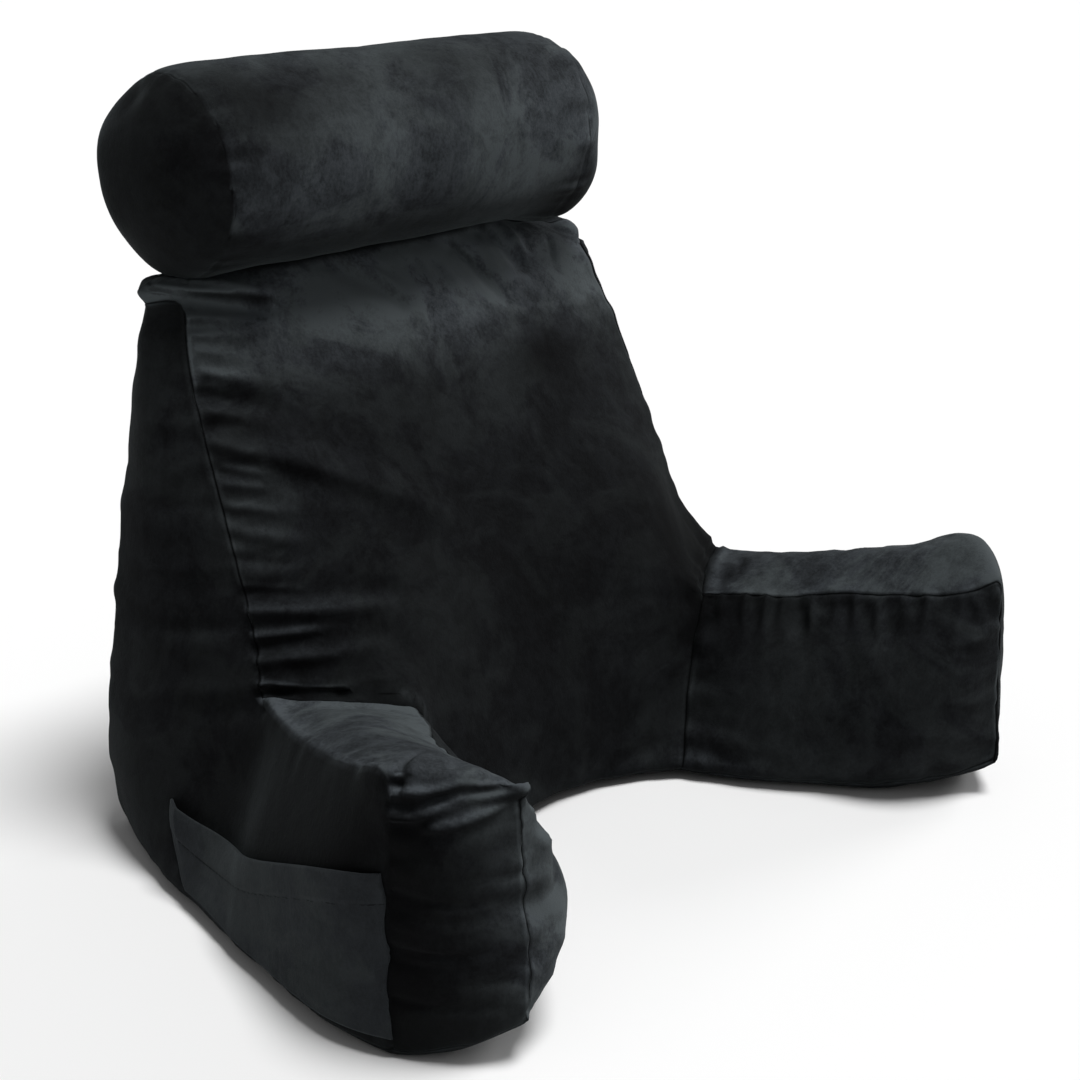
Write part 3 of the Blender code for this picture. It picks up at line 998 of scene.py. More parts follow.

    # Lie of the pile on each panel, partly painted light and shade: lighter towards the top of the
    # front and rear panels and where the band faces up.
    fold_light_gain: float = 2.5
    soft_normal_rounds: int = 60
    pile: tuple[tuple[Panel, PileAndLightFade], ...] = (
        (Panel.FRONT, PileAndLightFade(0.092, 1.05, 0.400, 0.490)),
        (Panel.BAND, PileAndLightFade(0.04, 0.80, 0.02, 0.66, Measure.SLOPE)),
        (Panel.INNER, PileAndLightFade(0.17, 0.17)),
        (Panel.SIDE, PileAndLightFade(0.10, 0.14, 0.22, 0.46)),
        (Panel.REAR, PileAndLightFade(0.10, 0.35, 0.250, 0.480)),
        (Panel.TOP, PileAndLightFade(0.40, 0.40)),
        (Panel.UNDERSIDE, PileAndLightFade(0.08, 0.08)),
    )
    # Patches that change it, partly pile laid another way and partly painted light and shade, such
    # as painted light at the top of the front panel under the roll and painted shade on the left
    # arm's outer side: x, y, z, radius, change.
    patches: tuple[Row, ...] = (
        (-0.220, 0.190, 0.490, 0.060, -0.12),
        (0.060, 0.175, 0.480, 0.110, 0.26),
        (0.250, -0.030, 0.185, 0.110, -0.16),
        (-0.370, -0.090, 0.130, 0.140, -0.14),
        (0.262, -0.028, 0.185, 0.010, -0.40),
        (0.250, -0.040, 0.182, 0.008, -0.30),
        (-0.255, 0.225, 0.512, 0.020, 0.20),
        (0.130, 0.145, 0.440, 0.060, -0.30),
        (0.020, 0.000, 0.200, 0.080, -0.05),
        (0.150, -0.010, 0.170, 0.070, 0.06),
        (0.120, 0.190, 0.490, 0.060, 0.24),
        (0.225, 0.140, 0.420, 0.060, 0.14),
        (0.210, 0.075, 0.330, 0.060, 0.08),
        (0.060, -0.005, 0.185, 0.080, 0.01),
        (0.030, 0.091, 0.361, 0.060, 0.03),
        (-0.150, 0.130, 0.400, 0.060, 0.06),
        (-0.245, 0.095, 0.330, 0.045, 0.12),
        (-0.240, 0.050, 0.240, 0.040, 0.10),
        (-0.320, -0.130, 0.160, 0.090, -0.06),
        (-0.285, -0.290, 0.120, 0.055, 0.50),
        (-0.300, -0.290, 0.190, 0.040, 0.35),
        (-0.285, -0.290, 0.060, 0.045, 0.40),
    )
    # Creases of each panel: start and end in the drawing, lift and half width, all in mm.
    creases: tuple[Creases, ...] = (
        Creases(Panel.FRONT, Seen.FRONT, (
            (-262, 513, -146, 494, 5.5, 5.5), (-245, 486, -205, 482, 2.0, 5.0),
            (-245, 473, -191, 466, 3.0, 5.5), (-247, 459, -205, 451, 2.0, 5.0),
            (-248, 441, -202, 428, 3.2, 6.0), (-254, 424, -178, 398, -3.5, 8.0),
            (-256, 408, -205, 394, 3.0, 6.0), (-262, 384, -156, 342, 2.7, 7.0),
            (-213, 369, -78, 303, 2.2, 8.0), (-260, 365, -210, 351, 2.5, 5.0),
            (-263, 351, -218, 342, 2.0, 5.0), (-266, 333, -213, 323, 3.0, 6.0),
            (-270, 314, -211, 297, 3.0, 8.0), (-274, 292, -230, 283, -2.0, 6.0),
            (-275, 270, -213, 260, 1.5, 4.0), (-279, 248, -150, 241, 5.5, 5.6),
            (-284, 229, -212, 233, 5.0, 5.4), (-287, 210, -168, 214, 5.0, 5.4),
            (-238, 188, -192, 191, 3.2, 4.2), (-293, 192, -240, 192, 4.0, 3.6),
            (-28, 509, -6, 489, -2.0, 5.0),
            (28, 507, 34, 483, 2.0, 6.0), (81, 509, 95, 487, -2.5, 5.0),
            (130, 521, 152, 495, -2.5, 5.0), (165, 517, 170, 488, 2.5, 5.0),
            (210, 504, 199, 472, -2.0, 5.0), (-189, 507, -157, 492, 3.0, 7.0),
            (45, 511, 62, 466, 2.0, 9.0),
        )),
        Creases(Panel.BAND, Seen.ABOVE, (
            (-378, -236, -322, -202, -4.0, 4.5), (275, -22, 243, -48, -3.0, 5.5),
        )),
        Creases(Panel.BAND, Seen.FRONT, (
            (-387, 219, -348, 230, 7.0, 4.0), (-312, 223, -356, 230, 5.0, 4.0),
            (-386, 204, -350, 219, 7.0, 4.0), (-312, 220, -360, 218, 5.5, 4.0),
            (-374, 198, -322, 216, 6.0, 4.0), (-387, 171, -356, 178, -1.5, 5.0),
            (-386, 139, -323, 141, -3.0, 3.5), (-385, 116, -350, 120, 1.5, 4.5),
            (-385, 94, -338, 99, -3.0, 3.5), (-386, 84, -352, 86, -1.5, 4.0),
            (-386, 51, -328, 52, -2.0, 4.5), (-322, 158, -372, 160, -1.5, 5.0),
            (-326, 72, -367, 73, -1.5, 5.0),
        )),
        Creases(Panel.INNER, Seen.RIGHT, (
            (-302, 199, -270, 188, 2.5, 6.0), (-304, 176, -280, 160, 2.5, 6.0),
            (-305, 149, -292, 123, 2.5, 7.0), (-305, 124, -292, 95, 2.5, 7.0),
            (-308, 97, -281, 60, 2.0, 7.0), (-309, 69, -280, 40, 2.0, 6.0),
        )),
        Creases(Panel.INNER, Seen.LEFT, (
            (-48, 168, -62, 140, 3.0, 4.5), (-71, 172, -86, 142, 3.5, 4.5),
            (-92, 172, -109, 138, 4.0, 4.0), (-107, 173, -122, 146, 2.2, 4.5),
            (-138, 171, -150, 148, 3.6, 4.5), (-157, 179, -169, 162, 2.0, 4.0),
            (-176, 182, -188, 160, 3.0, 4.5), (-200, 184, -214, 158, 3.4, 4.0),
            (-222, 194, -232, 174, 1.8, 5.0), (-243, 199, -256, 168, 2.0, 5.5),
            (-274, 206, -281, 186, 1.5, 5.0),
            (-299, 168, -276, 160, 2.0, 6.0), (-307, 103, -279, 108, 2.5, 7.0),
            (-307, 62, -258, 75, 2.0, 7.0), (-43, 127, -94, 119, 1.2, 8.0),
            (-53, 82, -110, 85, 2.0, 8.0), (-64, 47, -139, 51, 2.0, 8.0),
        )),
        Creases(Panel.SIDE, Seen.LEFT, (
            (154, 401, 221, 396, 1.5, 9.0), (122, 335, 230, 322, -1.5, 9.0),
            (103, 284, 234, 265, 1.5, 9.0), (80, 236, 235, 209, -2.0, 10.0),
            (57, 189, 224, 147, 2.0, 10.0), (35, 177, 96, 155, -2.0, 8.0),
        )),
    )

    def smoothed(self) -> bpy.types.Mesh:
        """Return the whole cover's mesh, smoothed through the lattice's own nodes.

        Returns:
            The mesh, with the panel of each face.
        """
        half, targets = self.lattice.cage()
        mirror = half.modifiers.new("other half", "MIRROR")
        mirror.use_axis = (True, False, False)
        mirror.merge_threshold = self.merge_gap
        smooth = half.modifiers.new("filled form", "SUBSURF")
        smooth.levels = self.fit_levels
        smooth.boundary_smooth = "ALL"
        count = len(targets)
        on_mirror_plane = np.abs(targets[:, 0]) < SEAT_GAP
        for _ in range(self.fit_rounds):
            fitted = applied_mesh(half)
            places = mesh_points(half.data) + targets - mesh_points(fitted)[:count]
            places[on_mirror_plane, 0] = 0.0
            set_points(half.data, places)
            bpy.data.meshes.remove(fitted)
        smooth.levels = self.fine_levels
        mesh = applied_mesh(half)
        bpy.data.objects.remove(half, do_unlink=True)
        return mesh

    def is_fine(self, panel: int, middle: Vector) -> bool:
        """Return whether a face lies where the finest creases run.

        Args:
            panel: Panel of the face.
            middle: Middle of the face.

        Returns:
            True at the front panel's left seam, on the left arm's tip and along the top of the
            right arm's inner panel.
        """
        if panel == Panel.FRONT:
            return middle.x < self.fine_front_x and middle.z > self.fine_bottom
        if panel == Panel.BAND:
            return middle.x < 0.0 and middle.y < self.fine_band_y
        return panel == Panel.INNER and middle.x > 0.0 and middle.z > self.fine_bottom

    def refine(self, mesh: bpy.types.Mesh) -> None:
        """Split the faces that carry the finest creases.

        Args:
            mesh: The cover, changed in place.
        """
        cover = bmesh.new()
        cover.from_mesh(mesh)
        cover.edges.ensure_lookup_table()
        panel_layer = cover.faces.layers.int["panel"]
        chosen = {edge.index for face in cover.faces for edge in face.edges
                  if self.is_fine(face[panel_layer], face.calc_center_median())}
        bmesh.ops.subdivide_edges(cover, edges=[cover.edges[index] for index in sorted(chosen)],
                                  cuts=1, use_grid_fill=True)
        cover.to_mesh(mesh)
        cover.free()

    def fold(self, mesh: bpy.types.Mesh) -> None:
        """Press the solid's main folds and move the cover to the floor frame.

        Args:
            mesh: The cover, changed in place.
        """
        points = mesh_points(mesh)
        depth = np.zeros(len(points))
        for *ends, fold_depth, half_width in self.main_folds:
            depth += Fold(tuple(ends[:3]), tuple(ends[3:]), fold_depth, half_width).press(points)
        points -= mesh_normals(mesh) * depth[:, None]
        set_points(mesh, nudged(points - np.array(FOOTPRINT_CENTRE), self.nudges))

    def settle(self, mesh: bpy.types.Mesh) -> None:
        """Let the cloth simulation buckle the panels between their seams.

        Args:
            mesh: The cover, changed in place.
        """
        seams = SeamMap(mesh)
        on_seam = np.unique(seams.edge_ends[seams.seam_edges])
        at_roll = self.roll.depth_inside(seams.points, self.roll_contact) > 0.0
        held = np.flatnonzero(at_roll | (seams.points[:, 2] < self.floor_contact))
        move = self.settling.settle(mesh, on_seam, held)
        share = seams.in_panel.T @ np.array(self.settling_shares) / seams.in_panel.sum(axis=0)
        set_points(mesh, seams.points + move * share[:, None])

    def pucker(self, mesh: bpy.types.Mesh) -> None:
        """Raise the gathers and creases along the seams.

        Args:
            mesh: The cover, changed in place.
        """
        seams = SeamMap(mesh)
        points, normals = seams.points, mesh_normals(mesh)
        lift = np.zeros(len(points))
        for row in (*self.gathers, *self.welts):
            near = np.flatnonzero(seams.in_panel[row.panel])
            seam, gap = seams.nearest(points[near], seams.seam_points(row.panel, row.neighbour))
            lift[near] += row.lift(seam, gap)
        for creases in self.creases:
            near = np.flatnonzero(seams.in_panel[creases.panel])
            lift[near] += creases.lift(points[near], normals[near])
        points = self.roll.push_clear(points + normals * lift[:, None])
        points[:, 2] = np.maximum(points[:, 2], 0.0)
        set_points(mesh, points)

    def sew(self, mesh: bpy.types.Mesh) -> None:
        """Cut a narrow groove along every seam but the one between the band and side panels.

        Args:
            mesh: The cover, changed in place.
        """
        seams = SeamMap(mesh)
        cover = bmesh.new()
        cover.from_mesh(mesh)
        cover.edges.ensure_lookup_table()
        edges = [cover.edges[index] for index, pair in seams.pairs.items() if pair != self.QUIET]
        made = bmesh.ops.bevel(cover, geom=edges, offset=self.groove_width, segments=2,
                               profile=0.5, affect="EDGES", clamp_overlap=True)
        strip = set(made["faces"])
        cover.normal_update()
        middle = [vert for vert in made["verts"] if all(f in strip for f in vert.link_faces)]
        for vert, normal in [(vert, vert.normal.copy()) for vert in middle]:
            vert.co -= normal * self.groove_depth
            vert.co.z = max(vert.co.z, 0.0)
        for face in cover.faces:
            face.smooth = True
        cover.to_mesh(mesh)
        cover.free()

    def seam_places(self, mesh: bpy.types.Mesh) -> tuple[np.ndarray, np.ndarray]:
        """Find the seam lines before the grooves are cut.

        Args:
            mesh: The puckered cover.

        Returns:
            Points along every seam that is drawn, and points along the seams where the arms meet
            the front panel. The left one of these is drawn a little inside the front panel.
        """
        seams = SeamMap(mesh)
        seam = np.concatenate([seams.seam_points(Panel(a), Panel(b))
                               for a, b in sorted(set(seams.pairs.values()))
                               if (a, b) != self.QUIET])
        root = np.concatenate([seams.seam_points(Panel.FRONT, Panel.BAND),
                               seams.seam_points(Panel.FRONT, Panel.INNER)])
        root = root[root[:, 2] > self.root_bottom]
        at_left_root = (seam[:, 0] < 0.0) & (SeamMap.nearest(seam, root)[1] < 1.0 * MM)
        return seam[~at_left_root], root

    def build(self) -> bpy.types.Object:
        """Return the finished cover.

        Returns:
            The cover as an object.
        """
        mesh = self.smoothed()
        self.fold(mesh)
        self.settle(mesh)
        self.refine(mesh)
        self.pucker(mesh)
        seam, root = self.seam_places(mesh)
        self.sew(mesh)
        self.paint(mesh, seam, root)
        mesh.name = "cover"
        return new_object("cover", mesh)

    def paint(self, mesh: bpy.types.Mesh, seam: np.ndarray, root: np.ndarray) -> None:
        """Keep the lie of the pile with painted light and shade, and the nearness of a seam, on
        each vertex.

        Args:
            mesh: The sewn cover.
            seam: Points along the seams that are drawn.
            root: Points along the seams at the roots of the arms.
        """
        seams = SeamMap(mesh)
        total = np.zeros(len(seams.points))
        normals = mesh_normals(mesh)
        soft = blurred(mesh, normals, self.soft_normal_rounds)
        for panel, fade in self.pile:
            total += fade.at(seams.points, soft) * seams.in_panel[panel]
        lay = total / seams.in_panel.sum(axis=0) + pile_and_light_patches(seams.points, self.patches)
        # Painted light and shade on the folds: lighter where a fold faces the lights.
        lay = np.clip(lay, 0.0, self.lightest_lay) * painted_fold_light(normals, soft, self.fold_light_gain)
        # Painted shade where the cover meets the roll.
        from_roll = self.roll.clearance(seams.points) / self.crevice
        lay *= 1.0 - self.crevice_shade * np.exp(-from_roll ** 2)
        _, gap = SeamMap.nearest(seams.points, seam)
        _, root_gap = SeamMap.nearest(seams.points, root)
        at_left = seams.points[:, 0] < 0.0
        on_front = seams.in_panel[Panel.FRONT] & at_left
        gap = np.where(on_front, np.minimum(gap, np.abs(root_gap - self.root_line)), gap)
        # Painted highlight beside the seams, stronger at the left arm's root.
        lip = np.exp(-((gap / self.highlight_offset - 1.0) / self.highlight_spread) ** 2)
        at_root = on_front & (root_gap < self.root_highlight_reach)
        lay *= 1.0 + self.highlight_gain * lip * np.where(at_root, self.root_highlight_gain, 1.0)
        # Painted shade along the right arm's root seam.
        lay *= 1.0 - self.slash_shade * np.exp(-(root_gap / self.slash) ** 2) * ~at_left
        set_attribute(mesh, "pile_lay_and_painted_light", lay)
        set_attribute(mesh, "seam_gap", gap)


# ---- neck roll ---------------------------------------------------------------------------------
@dataclass(frozen=True)
class NeckRoll:
    """The filled round roll with its two sewn end caps."""

    centre: tuple[float, float, float] = (-0.020, 0.240, 0.616)
    slope: float = 0.034
    sag: float = 0.003
    around: int = 200
    step: float = 3.6 * MM
    right_stretch: float = 1.06
    cap_seam: float = 0.212
    seam_tilt: float = 0.007
    # Painted shade on the left cap, which faces away from the lights, and where the roll lies close
    # over the cover.
    shaded_cap_lay: float = 0.055
    crevice: float = 16.0 * MM
    crevice_shade: float = 0.95
    fold_light_gain: float = 2.0
    soft_normal_rounds: int = 60
    mean_radius: float = 0.09
    end_place: float = 0.3
    profile_rounds: int = 6
    merge_gap: float = 0.05 * MM
    # The cap seams: how they wander, the puckers beside them and the groove they lie in.
    seam_wander: float = 2.2 * MM
    wander_size: float = 20.0 * MM
    least_offset: float = 0.02
    pucker_size: float = 14.0 * MM
    body_reach: float = 26.0 * MM
    cap_reach: float = 14.0 * MM
    left_puckers: float = 2.4 * MM
    right_puckers: float = 3.6 * MM
    groove_depth: float = 1.6 * MM
    groove_width: float = 2.0 * MM
    # The filling's lumps: size and height in mm, seed.
    lumps: tuple[Row, ...] = ((75.0, 1.6, 2.0), (30.0, 0.7, 7.0))
    draw_in: float = 0.8 * MM
    most_push: float = 1.5 * MM
    calm_centre: float = 0.05
    # Where the cover is looked for under the roll: highest place, start of the ray, its reach.
    rest_below: float = 0.58
    rest_from: float = 0.62
    rest_reach: float = 0.14
    # Painted shade: the roll darker where it faces down.
    pile: PileAndLightFade = PileAndLightFade(0.00, 0.66, -0.80, -0.18, Measure.SLOPE)
    # Patches that make the pile lighter or darker, partly pile laid another way and partly painted
    # light, such as the painted highlight across the roll's front: place x, y, z, radius, change of
    # the pile's lay.
    patches: tuple[Row, ...] = (
        (-0.205, 0.148, 0.660, 0.060, -0.42),
        (-0.215, 0.188, 0.688, 0.045, -0.23),
        (-0.160, 0.148, 0.665, 0.040, -0.21),
        (-0.100, 0.160, 0.685, 0.050, -0.30),
        (0.030, 0.160, 0.690, 0.060, -0.32),
        (0.110, 0.165, 0.692, 0.060, -0.30),
        (0.120, 0.128, 0.615, 0.090, 0.46),
        (-0.060, 0.127, 0.600, 0.070, 0.22),
        (-0.150, 0.131, 0.595, 0.055, 0.30),
        (0.200, 0.150, 0.640, 0.060, 0.14),
        (0.190, 0.150, 0.562, 0.040, -0.20),
    )
    # Local pushes on the floor frame: place x, y, z, radius, move x, y, z.
    nudges: tuple[Row, ...] = (
        (-0.262, 0.236, 0.678, 0.016, 0.003, -0.002, -0.003),
        (-0.270, 0.271, 0.636, 0.030, -0.004, 0.003, 0.002),
        (-0.275, 0.259, 0.586, 0.034, -0.004, 0.003, 0.000),
        (-0.240, 0.225, 0.532, 0.050, 0.000, 0.000, -0.010),
        (0.232, 0.180, 0.572, 0.046, 0.009, -0.007, -0.002),
        (0.218, 0.205, 0.545, 0.046, 0.003, -0.002, -0.017),
        (0.236, 0.165, 0.610, 0.016, -0.004, 0.003, 0.000),
    )
    # From the middle to the cap's centre: distance along the roll, radius.
    rows: tuple[tuple[float, float], ...] = (
        (0.000, 0.0932), (0.040, 0.0938), (0.080, 0.0940), (0.120, 0.0935), (0.155, 0.0925),
        (0.185, 0.0910), (0.203, 0.0888), (0.212, 0.0868), (0.228, 0.0815), (0.243, 0.0680),
        (0.256, 0.0460), (0.262, 0.0230), (0.264, 0.0000),
    )

    def axis_z(self, x: np.ndarray) -> np.ndarray:
        """Return the height of the roll's axis over its centre at a distance along it."""
        return self.sag * (x / self.rows[-1][0]) ** 2 + self.slope * x

    def row_centre(self) -> np.ndarray:
        """Return the roll's centre on the floor frame."""
        return np.array(self.centre) - np.array(FOOTPRINT_CENTRE)

    def from_middle(self, x: np.ndarray) -> np.ndarray:
        """Return the distance from the middle, before the fuller right end is stretched."""
        return np.abs(x) / np.where(x > 0.0, self.right_stretch, 1.0)

    def past_seam(self, points: np.ndarray) -> np.ndarray:
        """Return how far each point lies past its end's cap seam, which runs a little uneven.

        Args:
            points: Places on the floor frame.

        Returns:
            The distances, less than 0 on the body.
        """
        offset, _ = self.across(points)
        along = points[:, 0] - self.row_centre()[0]
        end = np.column_stack([self.end_place * np.sign(along), offset])
        distance = np.maximum(np.linalg.norm(offset, axis=1), self.least_offset)
        tilt = self.seam_tilt * offset[:, 1] / distance
        uneven = self.seam_wander * soft_noise(end, self.wander_size, 8.0)
        return self.from_middle(along) - self.cap_seam - tilt - uneven

    def clearance(self, points: np.ndarray) -> np.ndarray:
        """Return how far each point lies from the roll's surface, 1 m past its ends."""
        offset, radius = self.across(points)
        return np.where(radius > 0.0, np.abs(np.linalg.norm(offset, axis=1) - radius), 1.0)

    def across(self, points: np.ndarray) -> tuple[np.ndarray, np.ndarray]:
        """Return each point's offset from the roll's axis and the roll's radius there.

        Args:
            points: Places on the floor frame.

        Returns:
            The offsets in y and z, and the radii, 0 past the ends.
        """
        local = points - self.row_centre()
        distances, radii = np.array(self.rows).T
        radius = np.interp(self.from_middle(local[:, 0]), distances, radii, right=0.0)
        middle = np.stack([np.zeros(len(local)), self.axis_z(local[:, 0])], axis=1)
        return local[:, 1:] - middle, radius

    def depth_inside(self, points: np.ndarray, margin: float) -> np.ndarray:
        """Return how deep each point lies inside the roll grown by a margin, else 0.

        Args:
            points: Places on the floor frame.
            margin: How much the roll is grown.

        Returns:
            The depths.
        """
        offset, radius = self.across(points)
        depth = radius + margin - np.linalg.norm(offset, axis=1)
        return np.where(radius > 0.0, np.maximum(depth, 0.0), 0.0)

    def push_clear(self, points: np.ndarray) -> np.ndarray:
        """Return the points with those inside the roll pushed out to its surface.

        Args:
            points: Places on the floor frame.

        Returns:
            The moved points.
        """
        offset, radius = self.across(points)
        gap = np.maximum(np.linalg.norm(offset, axis=1), LEAST_LENGTH)
        moved = points.copy()
        depth = self.depth_inside(points, SEAT_GAP)
        moved[:, 1:] += offset * (depth / gap)[:, None]
        return moved

    def profile(self) -> tuple[np.ndarray, np.ndarray]:
        """Return the distances along the roll and the radii of its rings, left to right.

        Returns:
            The distances and the radii.
        """
        distances, radii = np.array(self.rows).T
        length = np.concatenate([[0.0], np.cumsum(np.hypot(np.diff(distances), np.diff(radii)))])
        fine = np.linspace(0.0, length[-1], int(length[-1] / self.step))
        x, r = np.interp(fine, length, distances), np.interp(fine, length, radii)
        for _ in range(self.profile_rounds):
            x[1:-1], r[1:-1] = evened(x), evened(r)
        r[-1] = 0.0
        return (np.concatenate([-x[:0:-1], self.right_stretch * x]),
                np.concatenate([r[:0:-1], r]))

    def rested(self, points: np.ndarray,
               cover: bpy.types.Object) -> tuple[np.ndarray, np.ndarray]:
        """Return the roll's points, laid on the cover, and how high each lies over it.

        Args:
            points: Places on the roll.
            cover: The finished cover.

        Returns:
            The raised points, and the heights, 1 m where no cover lies below.
        """
        tree = face_tree(cover)
        down = Vector((0.0, 0.0, -1.0))
        rested, gaps = points.copy(), np.ones(len(points))
        for index in np.flatnonzero(points[:, 2] < self.rest_below):
            x, y, z = points[index]
            start = Vector((x, y, self.rest_from))
            place, _, _, _ = tree.ray_cast(start, down, self.rest_reach)
            if place is not None:
                rested[index, 2] = max(z, place.z + SEAT_GAP)
                gaps[index] = rested[index, 2] - place.z
        return rested, gaps

    def surface(self) -> np.ndarray:
        """Lay out the roll before it is laid on the cover.

        Returns:
            Points on the floor frame, in rings from the left cap's centre to the right one's.
        """
        x, radius = self.profile()
        turn = np.linspace(0.0, 2.0 * math.pi, self.around, endpoint=False)
        along, angle = np.meshgrid(x, turn, indexing="ij")
        ring = np.broadcast_to(radius[:, None], along.shape)
        circle = self.mean_radius * np.stack([np.cos(angle), np.sin(angle)], axis=-1)
        flat = np.concatenate([along[..., None], circle], axis=-1).reshape(-1, 3)
        at_end = np.concatenate([np.sign(along)[..., None] * self.end_place, circle], axis=-1)
        past_seam = self.past_seam(flat + self.row_centre()).reshape(along.shape)
        puckers = soft_noise(at_end.reshape(-1, 3), self.pucker_size, 5.0).reshape(along.shape)
        reach = np.where(past_seam < 0.0, self.body_reach, self.cap_reach)
        height = np.where(along > 0.0, self.right_puckers, self.left_puckers)
        push = height * puckers * np.exp(-(past_seam / reach) ** 2)
        for size, rise, seed in self.lumps:
            push += soft_noise(flat, size * MM, seed).reshape(along.shape) * rise * MM
        push -= self.groove_depth * np.exp(-(past_seam / self.groove_width) ** 2)
        push = np.minimum(push - self.draw_in, self.most_push)
        grown = np.maximum(ring + push * np.clip(ring / self.calm_centre, 0.0, 1.0), 0.0)
        return np.stack([along, grown * np.cos(angle), grown * np.sin(angle)
                         + self.axis_z(along)], axis=-1) + self.row_centre()

    def build(self, cover: bpy.types.Object) -> bpy.types.Object:
        """Return the finished roll, lying on the cover.

        Args:
            cover: The finished cover.

        Returns:
            The roll as an object.
        """
        mesh = grid_mesh("roll", self.surface(), closed=True)
        clean = bmesh.new()
        clean.from_mesh(mesh)
        bmesh.ops.remove_doubles(clean, verts=clean.verts[:], dist=self.merge_gap)
        bmesh.ops.recalc_face_normals(clean, faces=clean.faces[:])
        clean.to_mesh(mesh)
        clean.free()
        places, over_cover = self.rested(nudged(mesh_points(mesh), self.nudges), cover)
        self.paint(mesh, over_cover)
        set_points(mesh, places)
        return new_object("roll", mesh)

    def paint(self, mesh: bpy.types.Mesh, over_cover: np.ndarray) -> None:
        """Keep the lie of the pile with painted light and shade, and the nearness of a seam, on
        each vertex.

        Args:
            mesh: The roll before it is laid on the cover.
            over_cover: How high each vertex lies over the cover.
        """
        points, normals = mesh_points(mesh), mesh_normals(mesh)
        past_seam = self.past_seam(points)
        lay = np.clip(self.pile.at(points, normals) + pile_and_light_patches(points, self.patches), 0.0, 1.0)
        at_left = points[:, 0] < 0.0
        # Painted shade: the left cap, which faces away from the lights, is set dark.
        lay = np.where((past_seam > 0.0) & at_left, self.shaded_cap_lay, lay)
        soft = blurred(mesh, normals, self.soft_normal_rounds)
        # Painted light and shade on the folds.
        lay *= painted_fold_light(normals, soft, self.fold_light_gain)
        # Painted shade where the roll lies close over the cover.
        lay *= 1.0 - self.crevice_shade * np.exp(-(over_cover / self.crevice) ** 2)
        set_attribute(mesh, "pile_lay_and_painted_light", lay)
        set_attribute(mesh, "seam_gap", np.abs(past_seam))


